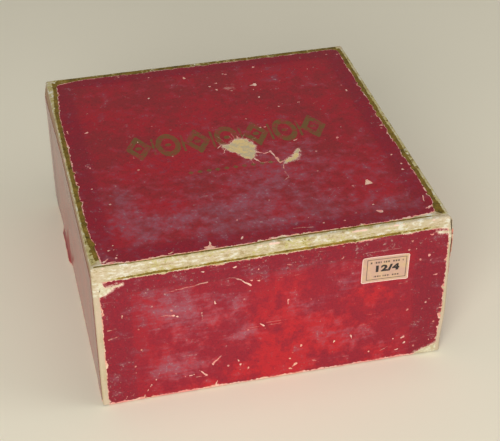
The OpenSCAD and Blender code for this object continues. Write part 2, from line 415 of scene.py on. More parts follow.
def piece(name, face, back, fields, finish, node, kept=None, uv=None):
    """Makes a sheet between two grids, in millimetres, rides it on the lid and puts it in a CAD
    node's place. A field is a number, and uv two, for each point of the face; the back takes the
    same. Points that no polygon uses are left out."""
    every_row = range(len(face))
    points, faces = shell(sprung(face), sprung(back), list(kept or every_row))
    used, numbers = np.unique(list(itertools.chain.from_iterable(faces)), return_inverse=True)
    ends = np.cumsum([len(f) for f in faces])[:-1]
    loops = [part.tolist() for part in np.split(numbers, ends)]
    mesh = bpy.data.meshes.new(name)
    mesh.from_pydata((points[used] * MM).tolist(), [], loops)
    shape = bmesh.new()
    shape.from_mesh(mesh)
    bmesh.ops.recalc_face_normals(shape, faces=shape.faces)
    shape.to_mesh(mesh)
    shape.free()
    for key, values in fields.items():
        values = np.tile(np.broadcast_to(values, face.shape[:2]).ravel(), 2)[used]
        layer = mesh.attributes.new(key, "FLOAT", "POINT")
        layer.data.foreach_set("value", values.astype(np.float32))
    if uv is not None:
        corners = np.empty(len(mesh.loops), np.int32)
        mesh.loops.foreach_get("vertex_index", corners)
        values = np.tile(uv.reshape(-1, 2), (2, 1))[used][corners]
        layer = mesh.uv_layers.new(name="Sheet")
        layer.data.foreach_set("uv", values.astype(np.float32).ravel())
    mesh.shade_smooth()
    mesh.set_sharp_from_angle(angle=np.radians(50))
    mesh.materials.append(finish)
    made = bpy.data.objects.new(name, mesh)
    bpy.context.scene.collection.objects.link(made)
    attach(made, "lid")
    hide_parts(node)


# ---------------------------------------------------------------- shader maths


class Wire:
    """One value on its way through a material. Arithmetic on it adds Math nodes."""

    def __init__(self, finish, socket):
        self.finish = finish
        self.socket = socket

    def math(self, operation, first, second=0.0):
        return self.finish.node("ShaderNodeMath", {"operation": operation}, {0: first, 1: second})

    def __add__(self, other):
        return self.math("ADD", self, other)

    def __sub__(self, other):
        return self.math("SUBTRACT", self, other)

    def __rsub__(self, other):
        return self.math("SUBTRACT", other, self)

    def __mul__(self, other):
        return self.math("MULTIPLY", self, other)

    __radd__ = __add__
    __rmul__ = __mul__

    def least(self, other):
        return self.math("MINIMUM", self, other)

    def most(self, other):
        return self.math("MAXIMUM", self, other)

    def size(self):
        return self.math("ABSOLUTE", self)

    def wave(self):
        return self.math("SINE", self)

    def step(self, low, high):
        """0 below low, 1 above high and eased between; low may be the greater."""
        edges = (low, high, 0.0, 1.0) if low < high else (high, low, 1.0, 0.0)
        settings = {"interpolation_type": "SMOOTHSTEP"}
        return self.finish.node("ShaderNodeMapRange", settings, dict(enumerate((self, *edges))))


class Finish:
    """A material with one Principled shader, wired by the methods below."""

    def __init__(self, name, **constants):
        self.material = bpy.data.materials.new(name)
        self.material.use_nodes = True
        self.tree = self.material.node_tree
        self.shader = self.tree.nodes["Principled BSDF"]
        for key, value in constants.items():
            self.shader.inputs[key.replace("_", " ")].default_value = value

    def node(self, kind, settings=(), inputs=(), output=0):
        """Adds a node, sets it, gives its sockets values or links, and returns one output."""
        made = self.tree.nodes.new(kind)
        for key, value in dict(settings).items():
            setattr(made, key, value)
        for key, value in dict(inputs).items():
            if isinstance(value, Wire):
                self.tree.links.new(value.socket, made.inputs[key])
            else:
                made.inputs[key].default_value = value
        return Wire(self, made.outputs[output])

    def place(self, scale=(1, 1, 1), turn=(0, 0, 0)):
        """Object coordinates, stretched and turned."""
        plain = self.node("ShaderNodeTexCoord", output="Object")
        inputs = {"Vector": plain, "Rotation": turn, "Scale": scale}
        return self.node("ShaderNodeMapping", {}, inputs)

    def sheet(self):
        """The two numbers of the mesh's own UV map, which is in millimetres."""
        uv = self.node("ShaderNodeUVMap", {"uv_map": "Sheet"})
        return [self.node("ShaderNodeSeparateXYZ", {}, {0: uv}, number) for number in (0, 1)]

    def field(self, name):
        """A number that the mesh carries."""
        return self.node("ShaderNodeAttribute", {"attribute_name": name}, output="Fac")

    def noise(self, where, scale, detail, rough):
        """Smooth noise, mostly between 0.3 and 0.7."""
        inputs = {"Vector": where, "Scale": scale, "Detail": detail, "Roughness": rough}
        return self.node("ShaderNodeTexNoise", {}, inputs)

    def cells(self, where, scale, output):
        """Distance to the nearest of scattered points, or the random colour of that point."""
        return self.node("ShaderNodeTexVoronoi", {}, {"Vector": where, "Scale": scale}, output)

    def mix(self, first, second, share):
        """first where share is 0, second where it is 1. Both are colours."""
        first, second = (c if isinstance(c, Wire) else (*c, 1.0) for c in (first, second))
        return self.node("ShaderNodeMix", {"data_type": "RGBA"}, {0: share, 6: first, 7: second}, 2)

    def over(self, tone, *layers):
        """A tone with layers laid over it in turn. Each is a colour and its share."""
        for layer in layers:
            tone = self.mix(tone, *layer)
        return tone

    def bump(self, height, depth):
        """Normal of a relief `depth` metres deep."""
        inputs = {"Height": height, "Distance": depth, "Strength": 1.0}
        return self.node("ShaderNodeBump", {}, inputs)

    def wire(self, sockets):
        """Feeds sockets of the shader."""
        for key, value in sockets.items():
            self.tree.links.new(value.socket, self.shader.inputs[key.replace("_", " ")])


def material(**constants):
    """Turns a function that returns a finish's wires into one that finds the material of a name,
    or makes it with these constants on its shader."""

    def turn(wires):
        """The function that finds or makes."""

        def find(name, *values):
            """The material of that name, made from the values if there is none yet."""
            found = bpy.data.materials.get(name)
            if found is None:
                finish = Finish(name, **constants)
                finish.wire(wires(finish, bpy.context.scene.game_box_colours, *values))
                found = finish.material
            return found

        return find

    return turn


# ---------------------------------------------------------------- finishes


def paper_noise(finish):
    """The noises that a red paper is made of, from broad to fine, and two that lie in streaks."""
    place = finish.place()
    return SimpleNamespace(
        blotch=finish.noise(place, 26, 4, 0.6),
        mottle=finish.noise(place, 115, 5, 0.65),
        ply=finish.noise(place, 260, 4, 0.6),
        tooth=finish.noise(place, 430, 4, 0.75) - 0.5,
        fleck=finish.noise(place, 520, 4, 0.7),
        tiny=finish.noise(place, 900, 3, 0.6),
        fibre=finish.noise(place, 1500, 2, 0.5),
        smear=finish.noise(finish.place((40, 40, 330), (0.5, 0.3, 0.7)), 1, 4, 0.65),
        hair=finish.noise(finish.place((22, 22, 1000), (1.1, 0.35, 0.2)), 1, 2, 0.5),
        dot=finish.cells(place, 150, "Distance"),
        lot=finish.cells(place, 150, "Color"),
    )


def red_ground(finish, hue, n, margin, depth, ornament):
    """Red before it was rubbed: crimson and scarlet in blotches, dark towards the margins and
    darker still by depth, which is painted shade on the top and side papers; on the left wall a tan
    wash that is a painted reflection of the floor; with fine pits and glints."""
    # depth is painted shade: it darkens the whole sheet towards the shade colour
    deep = margin * 0.75 + (n.mottle - 0.5) * 1.3 + (n.blotch - 0.5) * 0.8 + depth
    # On the left wall a tan wash, strongest where smeared: painted reflection of the floor
    floor_reflection = finish.field("floor_reflection") * (n.smear * 1.4 + 0.3).least(1.0)
    grit = n.fleck * 0.6 + n.tiny * 0.4
    return finish.over(
        hue.browned if ornament else hue.crimson,
        (hue.scarlet, (n.blotch * 0.55 + n.mottle * 0.55).step(0.47, 0.64)),
        (hue.shade, deep.step(0.05, 0.95) * 0.85),
        (FLOOR_REFLECTION_TAN, floor_reflection * 0.22),
        (darker(hue.shade, 0.55), grit.step(0.5, 0.66) * 0.5),
        (hue.scarlet, grit.step(0.48, 0.34) * 0.5),
    )


@material(Coat_Roughness=0.1, Specular_IOR_Level=0.25)
def red_paper(finish, hue, chalk, glaze, depth=0.0, ornament=False):
    """Glazed red paper with rubbed chalky haze, fine scratches and, on the top, dulled gilt
    ornament. The pink core or the buff backing shows where it is scuffed or torn."""
    n = paper_noise(finish)
    margin = finish.field("margin")
    red = red_ground(finish, hue, n, margin, depth, ornament)

    # What lies on the red: haze, hair lines and specks
    cloud = finish.field("haze") * 0.8 + (n.mottle - 0.5) * 2.4 + (n.smear - 0.5) * 1.4
    haze = cloud.step(0.08, 1.25) * (n.fleck * 1.7 - 0.2).most(0.0) * chalk
    specks = (n.fleck + (n.mottle - 0.5) * 0.5 + margin * 0.03).step(0.64, 0.76)
    red = finish.over(
        red,
        (hue.chalk, haze.least(0.75)),
        (hue.core, n.hair.step(0.69, 0.73) * n.mottle.step(0.48, 0.6) * 0.28),
        (hue.core, specks * 0.32),
    )

    # Where the red is gone
    dot = (n.lot + margin * 0.12).step(0.85, 0.87) * (n.dot + n.tooth * 0.45).step(0.16, 0.08)
    scar = (finish.field("scar") + n.tooth * 0.9).step(0.95, 1.15)
    fray = (finish.field("fray") + n.tooth * 2.6).step(0.92, 1.1)
    scratch = (finish.field("scratch") + n.tooth * 1.1).step(0.75, 1.25)
    torn = finish.field("bare")
    bare = (torn + n.tooth * 1.5).step(0.95, 1.08)
    bruise = (torn + n.tooth * 2.0).step(0.25, 0.9) * (1.0 - bare)
    if ornament:
        gild = (finish.field("gild") + n.tooth * 0.5).step(0.85, 1.15)
        left = (n.mottle * 0.6 + n.fleck * 0.4 + n.smear * 0.25).step(0.78, 0.55)
        red = finish.mix(red, DULLED_BLOCKING, gild * left * 0.88)
    core = finish.over(
        hue.core,
        (DYED_CORE, (n.mottle * 0.7 + n.fleck * 0.4).step(0.47, 0.6)),
        (hue.buff, n.blotch.step(0.5, 0.62) * 0.2),
    )
    outer, inner = (hue.buff, hue.cream) if ornament else (hue.cream, WHITE_PLY)
    backing = finish.over(
        outer,
        (inner, n.ply.step(0.4, 0.62)),
        (hue.core, (torn + n.tooth).step(1.4, 1.0) * 0.8),
    )
    red = finish.over(
        red,
        (hue.core, bruise * n.fleck.step(0.42, 0.56) * 0.6),
        (core, scratch * 0.55),
        (core, scar.most(fray).most(dot * 0.7)),
        (backing, bare),
    )

    rub = scar.most(bare).most(fray)
    relief = n.fibre * 0.12 + n.fleck * 0.12 + n.mottle * 0.45
    relief = relief - rub * (1.5 - n.fleck) - scratch * 0.3
    return {
        "Base Color": red,
        "Roughness": (haze * 0.3 + rub * 0.6 + n.mottle * 0.15 + 0.32).least(0.95),
        "Coat Weight": (1.0 - rub) * (1.0 - haze * 0.9) * (1.0 - finish.field("dull")) * glaze,
        "Normal": finish.bump(relief, 0.00009),
    }


@material(IOR=1.45)
def gilt_paper(finish, hue):
    """Embossed gilt paper: dulled olive gold where it is sheltered, worn down to cream elsewhere,
    with yellow-green flecks of gilt left in the hollows and white flecks that are painted
    highlights on the embossing. Down the left wall a tan mix is painted shade."""
    place = finish.place()
    soft = finish.noise(place, 80, 4, 0.6)
    patch = finish.noise(place, 130, 4, 0.7)
    fine = finish.noise(place, 430, 4, 0.7)
    grit = finish.noise(place, 1100, 3, 0.6)
    flake = finish.noise(finish.place((150, 150, 430)), 1, 4, 0.7)
    lump = flake * 0.75 + patch * 0.25
    left = finish.field("gilt") + (fine - 0.5) * 1.5 + (soft - 0.5) * 0.7
    gold = left.step(0.50, 0.68)
    edge = (finish.field("scar") + (fine - 0.5) * 1.2).step(0.9, 1.2)
    metal = finish.over(
        hue.gilt,
        (darker(hue.gilt, 0.3), (grit * 0.4 + patch * 0.6).step(0.42, 0.66)),
        (BRIGHT_GILT, (grit * 0.3 + patch * 0.7).step(0.42, 0.32) * 0.7),
    )
    tone = finish.over(
        hue.cream,
        (hue.linen, soft.step(0.42, 0.6) * 0.5),
        (SOILED_GILT, (lump + left * 0.12).step(0.54, 0.64) * 0.85),
        (PALE_GILT, left.step(0.22, 0.45) * 0.7),
        # White flecks: painted highlights on the embossing
        (GILT_HIGHLIGHT_WHITE, (lump + left * 0.06).step(0.49, 0.42) * 0.8),
        # Tan down the left wall: painted shade on the wall that faces away from the light
        (LEFT_WALL_SHADE, finish.field("soil_and_shade") * (1.0 - left * 0.5)),
        (metal, gold),
        (hue.core, edge * 0.8),
    )
    return {
        "Base Color": tone,
        "Metallic": gold * (1.0 - edge) * 0.45,
        "Roughness": 0.72 - gold * 0.3,
        "Normal": finish.bump(fine * 0.4 + flake * 0.6 + gold * 0.5 + grit * 0.2, 0.00014),
    }


@material(IOR=1.4)
def linen_cloth(finish, hue):
    """Bookbinder's linen under glue: a fine plain weave with painted shade between its threads,
    soiled in long streaks.
    """
    soil_and_shade = finish.noise(finish.place((1, 1, 0.25)), 120, 5, 0.6)
    fine = finish.noise(finish.place(), 700, 3, 0.6)
    weft, warp = finish.sheet()
    threads = (weft * 9.0).wave() * (warp * 9.0).wave()
    tone = finish.over(
        hue.linen,
        (hue.cream, soil_and_shade.step(0.4, 0.65)),
        (hue.straw, soil_and_shade.step(0.55, 0.72) * 0.6),
        (hue.core, fine.step(0.5, 0.8) * 0.4),
        # Darker lines where the threads part: painted shade
        (THREAD_SHADE, threads.step(0.4, 1.0) * 0.12),
    )
    relief = finish.bump(threads * 0.35 + fine, 0.00012)
    return {"Base Color": tone, "Roughness": fine * 0.2 + 0.7, "Normal": relief}


@material(IOR=1.4)
def strawboard(finish, hue):
    """Coarse yellow strawboard with darker chaff in it."""
    chaff = finish.noise(finish.place((260, 260, 900)), 1, 3, 0.6)
    soft = finish.noise(finish.place(), 60, 4, 0.6)
    tone = finish.over(
        hue.straw,
        (darker(hue.straw, 0.55), chaff.step(0.55, 0.75) * 0.7),
        (hue.cream, soft.step(0.45, 0.7) * 0.4),
    )
    relief = finish.bump(chaff, 0.00015)
    return {"Base Color": tone, "Roughness": chaff * 0.1 + 0.82, "Normal": relief}


@material(IOR=1.45)
def white_paper(finish, hue, stain):
    """Plain paper gone yellow, with brown foxing and darker edges to its stains."""
    place = finish.place()
    wash = finish.noise(place, 14, 5, 0.55)
    spots = finish.noise(place, 210, 3, 0.5)
    fibre = finish.noise(place, 1100, 3, 0.6)
    tone = finish.over(
        hue.lining,
        (hue.straw, wash.step(0.48, 0.72) * stain),
        (hue.straw, (wash - 0.55).size().step(0.02, 0.0) * stain * 0.5),
        (FOXING, (spots + wash * 0.25).step(0.84, 0.9) * 0.55),
        (hue.straw, fibre.step(0.5, 0.8) * 0.12),
    )
    relief = finish.bump(fibre, 0.00004)
    return {"Base Color": tone, "Roughness": fibre * 0.15 + 0.65, "Normal": relief}


@material(IOR=1.45)
def ticket_paper(finish, hue):
    """Buff ticket with a thin printed frame and two broken rules, drawn from its own UV map,
    which is in millimetres from the ticket's centre."""
    place = finish.place()
    soft = finish.noise(place, 160, 4, 0.6)
    fine = finish.noise(place, 1300, 3, 0.6)
    across, up = finish.sheet()
    inner = across - PRINT_SHIFT
    box = (inner.size() - 14.4).most(up.size() - 8.6).size().step(0.34, 0.16)
    dash = (across * 3.4).wave().step(-0.75, -0.35) * (across * 0.93 + 0.6).wave().step(-0.85, -0.6)
    rule_high = (up - 5.9).size().step(0.95, 0.6) * inner.size().step(12.6, 12.2)
    rule_low = (up + 6.1).size().step(0.8, 0.5) * inner.size().step(9.8, 9.4)
    printed = box.most(rule_high.most(rule_low) * dash) * (fine * 0.6 + 0.6).least(1.0)
    rim = (across.size() - 16.7).most(up.size() - 10.35).step(-0.2, 0.5)
    tone = finish.over(
        hue.ticket,
        (hue.buff, soft.step(0.4, 0.7) * 0.4),
        (hue.straw, (soft + fine * 0.3).step(0.72, 0.9) * 0.4),
        (TICKET_RIM, rim * 0.85),
        (hue.ink, printed * 0.9),
    )
    relief = finish.bump(fine, 0.00003)
    return {"Base Color": tone, "Roughness": fine * 0.2 + 0.55, "Normal": relief}


@material()
def printing_ink(finish, hue):
    """Black ink that has sunk unevenly into paper."""
    fine = finish.noise(finish.place(), 1800, 3, 0.6)
    tone = finish.mix(hue.ink, hue.ticket, fine.step(0.58, 0.78) * 0.45)
    return {"Base Color": tone, "Roughness": fine * 0.2 + 0.5}


@material(Specular_IOR_Level=0.1)
def pale_floor(finish, hue):
    """Plain pale floor, a touch uneven."""
    wash = finish.noise(finish.place(), 3, 3, 0.5)
    tone = finish.mix(hue.floor, darker(hue.floor, 0.93), wash)
    return {"Base Color": tone, "Roughness": wash * 0.1 + 0.85}


# ---------------------------------------------------------------- the red papers on the walls

# Scratches and scuffs on the front: x0, z0, x1, z1 and half width, in millimetres. In 39 of the
# 62 rows both ends are as a separate script printed them, which looked for pale spots in the
# photo; the other rows and the half widths were changed or set by eye.
FRONT_MARKS = [
    (-17.4, 88.5, -26, 95.8, 0.58), (-24, 94.5, -33, 98, 0.45), (125.7, 81.6, 124.5, 71.2, 1.0),
    (-46.1, 23.1, -39.1, 29.8, 0.85), (-72, 72.6, -73.5, 72.8, 0.9), (-73, 72.6, -82, 73.6, 0.4),
    (-8.7, 51, -11.2, 53.2, 0.75), (15.5, 10.6, 12.6, 8, 0.95), (11, 7, 12.5, 6.5, 0.8),
    (-48, 96.8, -80, 92.6, 0.45), (-50.8, 13.1, -56.1, 20.1, 0.6), (-58, 13.6, -50, 12.6, 0.4),
    (97.7, 19.8, 95.1, 18.7, 0.9), (-44.2, 2.6, -43, 7.4, 0.75), (117.6, 73.2, 114.1, 72.8, 0.7),
    (111.4, 91, 110.7, 91, 1.2), (-27.3, 106.4, -31.2, 106.1, 0.6), (93.7, 8.7, 90.1, 8.4, 0.6),
    (-11.1, 91.4, -13.4, 91.9, 0.7), (19.5, 27.4, 18.7, 25.5, 0.8),
    (-25.5, 18.8, -25.7, 17.4, 0.85), (-42.6, 77.4, -43.2, 80.5, 0.55),
    (-97.2, 1.6, -95.3, 4.9, 0.8), (-19.6, 14.7, -20.8, 13, 0.7), (113.1, 109.2, 111.1, 109.4, 0.7),
    (97.9, 14, 96.9, 13.2, 0.8), (44.1, 26.2, 43.6, 24.7, 0.8), (-50.1, 106.5, -52.2, 106.5, 0.6),
    (57, 28.9, 57.3, 25.8, 0.6), (11.1, 16, 11.3, 15.7, 0.8), (9.8, 70.8, 9.4, 66, 0.6),
    (-70, 70.9, -69.8, 70.1, 0.7), (-62.8, 15.9, -59.6, 15.9, 0.6), (-16.3, 92.2, -17.6, 92.7, 0.6),
    (123.8, 53.6, 123.7, 52.7, 0.8), (-12, 101.8, -12.8, 101.8, 0.7), (88.7, 18.9, 88.3, 18.8, 0.8),
    (-19.6, 49.4, -20.4, 48.5, 0.6), (-62.2, 0.9, -64.4, 0.8, 0.6), (-27.1, 21.7, -27.9, 24, 0.55),
    (-107.6, 79.5, -108, 76.6, 0.5), (71.3, 10.8, 70.6, 10.7, 0.7), (-52.4, 71.1, -52, 63.6, 0.35),
    (123.3, 42.1, 121.2, 42.4, 0.8), (112.5, 86.5, 112.4, 86.2, 0.6),
    (-91.1, 95.8, -91.2, 95.8, 0.6), (-66.2, 15.9, -66.7, 16, 0.55),
    (117.1, 13.4, 116.8, 13.5, 0.55), (-87.2, 17.4, -88.6, 15.8, 0.6), (-90.6, 13.2, -92, 11, 0.55),
    (-93.6, 9, -94.6, 7.4, 0.55), (102.4, 98.6, 102.2, 98.2, 0.6), (-72.5, 20, -72.3, 18.3, 0.45),
    (-100, 0.6, -98.3, 1.2, 0.6), (-109, 6, -112, 2, 0.4), (-104, 7, -107, 5.5, 0.4),
    (-119, 60, -112, 61.5, 0.45), (-119, 68, -113, 69, 0.4), (80, 10, 86, 13, 0.4),
    (28, 12, 33, 9, 0.4), (8.6, 101.7, 16.3, 100.4, 0.4), (49.9, 101, 46.6, 98.8, 0.45),
]
# The white chip on the front's right edge
FRONT_CHIP = [(120.3, 37), (124.5, 37.8), (125.7, 32), (121.6, 31.8)]
# Where the front paper is torn off: at its top left and bottom right corners, and in two slivers
# at the top right
FRONT_TEARS = [
    [(-127, 112), (-119.3, 110), (-119.2, 107.1), (-117.6, 105.4), (-113.6, 105.5),
     (-111.8, 106.3), (-106.6, 107), (-106, 105.8), (-109.2, 104.6), (-112, 104.2),
     (-113.8, 102.2), (-116.6, 100.3), (-119.2, 98.4), (-122.4, 97.4), (-127, 97.4)],
    [(128, 11.2), (123.6, 10.4), (118, 7.3), (112, 5.6), (107.2, 3.4), (103, -1), (128, -1)],
    [(126, 108), (117.5, 108.8), (116.3, 111), (120, 111.2), (126, 110.4)],
    [(126, 112.2), (119, 113), (119, 114), (126, 114)],
]
# Clouds of chalky haze on the front: x, z, half width, half height and strength
FRONT_CLOUDS = [
    (-80, 86, 26, 14, 1.0), (-64, 68, 30, 15, 0.9), (-78, 26, 28, 16, 0.95), (10, 98, 45, 7, 0.7),
    (22, 62, 14, 10, 0.6), (-22, 48, 12, 9, 0.7), (55, 80, 18, 12, 0.5), (112, 88, 12, 14, 0.4),
    (75, 22, 30, 12, 0.45), (-30, 76, 16, 12, 0.6), (40, 36, 20, 14, 0.35),
    (-108, 60, 10, 30, 0.25),
]


def wall_levels(s, z, stay_edge):
    """Height of a wall paper's face over the board: one thickness, up a step over the stays,
    and up another over the edging."""
    before, after = 0.9, 0.2
    over_stay = ramp(np.abs(s), stay_edge - before, stay_edge + after)
    over_edging = ramp(z, EDGING_LOW[2] - before, EDGING_LOW[2] + after)
    low = PAPER + STAY * over_stay
    return low + (PAPER + STAY + EDGING - low) * over_edging


def rim_path(out, rim, radius, inner, z_wall, z_end):
    """Rows of a paper from the top of a wall down, round the rim in two quarter turns and up
    inside, as distances out from the board's face and heights. In a turn the distance changes by
    r cos(angle) and the height by r sin(angle), and then the other way about."""
    quarter = np.linspace(0, np.pi / 2, BEND_ROWS + 2)[1:-1, None]
    across = np.linspace(1, 0, RIM_ROWS)[:, None]
    up = np.linspace(0, 1, INNER_ROWS)[:, None]
    last, bend = out[-1:], inner + radius
    parts = (
        (out, z_wall),
        (last - radius + radius * np.cos(quarter), rim + radius - radius * np.sin(quarter)),
        (bend + (last - radius - bend) * across, rim),
        (bend - radius * np.sin(quarter), rim + radius - radius * np.cos(quarter)),
        (inner, rim + radius + (z_end - rim - radius) * up),
    )
    rows = (np.broadcast_arrays(*part, last)[:2] for part in parts)
    return [np.concatenate(part) for part in zip(*rows)]


def flap_lift(w):
    """How far a paper's loose places stand off the wall: the curled rim of the left paper near the
    back, and the front border of the right paper, which has come unstuck."""
    if w.side == "left":
        stretch = ramp(w.s, -92, -86) * ramp(w.s, -38, -46)
        return 2.0 * stretch * ramp(w.z, 9, w.rim) * (0.7 + 0.6 * grain(w.s, 0, 6, w.seed))
    if w.side == "right":
        stretch = 0.35 + 0.65 * ramp(w.z, 55, 95)
        stretch = stretch * ramp(w.z, 12, 26) * ramp(w.z, w.top + 2, w.top - 5)
        uneven = 0.7 + 0.6 * grain(w.z, 0, 9, w.seed)
        return 1.9 * stretch * ramp(w.from_left, 8, 0) ** 1.5 * uneven
    return np.zeros_like(w.z)


def wall_sheet(side, wear):
    """One wall paper as grids, and how far its points lie from its borders. s runs along the wall
    and the rows run down it. A border is the even grid's, moved in by the depth of its nicks, and
    the move fades out over a few millimetres."""
    low, high = node_mm(side + "_paper")
    facing, along = SIDES[side]
    half = abs(along @ high[:2])
    rim, top = low[2], high[2]
    stay_edge = abs(along @ BOARD_HIGH[:2]) - STAY_LEG
    seed = wear.seed * 100 + 10 * list(SIDES).index(side)
    radius = 2 * PAPER
    step = 0.75 if side == "front" else 1.0
    s = spread(-half, half, step, step * 0.6, 5)[None, :]
    z = spread(rim + radius, top, step, step * 0.6, 4)[::-1, None]
    down = len(z)

    # How far each border stands in from the sheet's nominal size
    lean, tilt = 0.4, 0.3
    if side == "front":
        lean = 1.1 + 1.1 * ramp(z, 10, 100)
        tilt = s / half * 1.9 + 0.4 + 0.9 * ramp(s, -105, -120)
    left = nicks(z, seed + 1, wear.nibble * 1.1) - 0.3
    right = nicks(z, seed + 2, wear.nibble * 1.3) - lean
    z_wall = z - (nicks(s, seed + 3, wear.nibble * 0.7) - tilt) * ramp(top - z, 7, 0)

    out = wall_levels(s, z_wall, stay_edge) + 0.05 * (grain(s, z, 30, seed + 4) - 0.5)
    z_end = rim + wear.turn_in
    face, back = (
        rim_path(out - off, rim + off, radius - off, INNER_FACE + off, z_wall, z_end)
        for off in (0, PAPER)
    )
    # The side borders go round the rim's outer bend as they end on the wall, and run straight
    # from there on
    row = np.arange(len(face[0]))
    on_wall, straight = np.minimum(row, down - 1), row[:, None] >= down + BEND_ROWS
    left, right = (np.where(straight, 0.4, border[on_wall]) for border in (left, right))
    run = s + left * ramp(s + half, 9, 0) - right * ramp(half - s, 9, 0)
    return SimpleNamespace(
        side=side, seed=seed, half=half, rim=rim, top=top, stay_edge=stay_edge, down=down,
        board=abs(facing @ BOARD_HIGH[:2]), s=run, out=face[0], z=face[1], back_out=back[0],
        back_z=back[1], from_left=run + half - left, from_right=half - right - run,
        from_top=z_wall[0] - face[1],
    )


def wall_fields(w, wear, lift):
    """Wear of one wall paper: scuffed borders and rim, scratches, tears, clean margins and haze,
    and the share of a painted floor reflection on the left wall.
    """
    s, z, seed = w.s, w.z, w.seed
    row = np.arange(len(s))[:, None]
    on_wall = row < w.down
    at_front, at_left = w.side == "front", w.side == "left"

    fringe = fringes(s, z, wear, 1.6, seed + 5, seed + 4)
    beside = np.minimum(w.from_left - 1.6 * at_left, w.from_right + 3 * at_left) - fringe * 1.2
    above = w.from_top + 3 * at_left - fringe * ramp(grain(s, 0, 9, seed + 6), 0.3, 0.7)
    fold = (z - w.rim) - 0.9 - 2.2 * grain(s, 0, 5, seed + 7) ** 2
    below = np.where(on_wall, fold, np.where(row < w.down + 2 * BEND_ROWS + 2, -1.0, 3.0))
    fray = np.minimum.reduce([beside, above, below])

    ridge = np.abs(np.abs(s) - w.stay_edge) + 0.25
    scratch = np.where(grain(s * 3, z, 6, seed + 8) > 0.6, ridge, 2)
    scar = bare = np.full(s.shape, FAR)
    if at_front:
        marks = FRONT_MARKS
        bare = nearest_of(*ragged(s, z, seed + 1, 1.0), FRONT_TEARS)
        scar = outline(s, z, FRONT_CHIP)
        haze = clouds(s, z, FRONT_CLOUDS)
    else:
        marks = random_marks(24, w.half, w.rim, w.top, seed)
        haze = 0.6 * ramp(grain(s, z, 45, seed + 9), 0.42, 0.75)
    scar, scratch = scuffed(*ragged(s, z, seed + 3, 1.5), marks, scar, scratch, on_wall)

    clean = np.minimum(w.stay_edge - np.abs(s), EDGING_LOW[2] - z)
    reach = np.where(at_front & (s < 0), 52, 28)
    margin = 0.25 * ramp(clean, 2.5, -1.0) + 0.75 * ramp(clean, reach, -10)
    return {
        "scar": worn(scar),
        "fray": worn(fray, 1.6),
        "scratch": worn(scratch),
        "bare": worn(bare, 2.5),
        "margin": margin,
        "haze": haze * (1 - 0.6 * margin) * on_wall,
        "dull": ramp(lift, 0.2, 0.9),
        # Share of the tan wash on the left wall, a painted reflection of the floor; none where the
        # flap stands off
        "floor_reflection": at_left * ramp(lift, 0.9, 0.1) * on_wall,
    }


def make_wall_paper(side):
    """Builds one wall paper: a thin closed sheet that goes down the wall, round the rim and in."""
    wear = bpy.context.scene.game_box_wear
    w = wall_sheet(side, wear)
    lift = flap_lift(w)
    fields = wall_fields(w, wear, lift)
    sunk = SUNK * ramp(fields["scar"] + fields["bare"], 0.95, 1.5)
    face = on_side(side, w.s, w.board + w.out - sunk + lift, w.z)
    back = on_side(side, w.s, w.board + w.back_out + lift, w.back_z)
    step = nearest(w.z[: w.down, 0], EDGING_LOW[2] + 0.3, EDGING_LOW[2] - 1)
    kept = sorted({0, *step, w.down // 2, *range(w.down - 8, len(w.z))})
    if side == "front":
        finish = red_paper("Red glazed paper", wear.chalk, 0.2)
    else:
        # Its last number, 0.3, darkens the back and side papers towards the shade colour: painted
        # shade
        finish = red_paper("Red glazed paper, sides, painted shade", 0.15 * wear.chalk, 0.56, 0.3)
    name, node = "papers_" + side, side + "_paper"
    piece(name, face, back, fields, finish, node, kept)


# ---------------------------------------------------------------- the red paper on the top

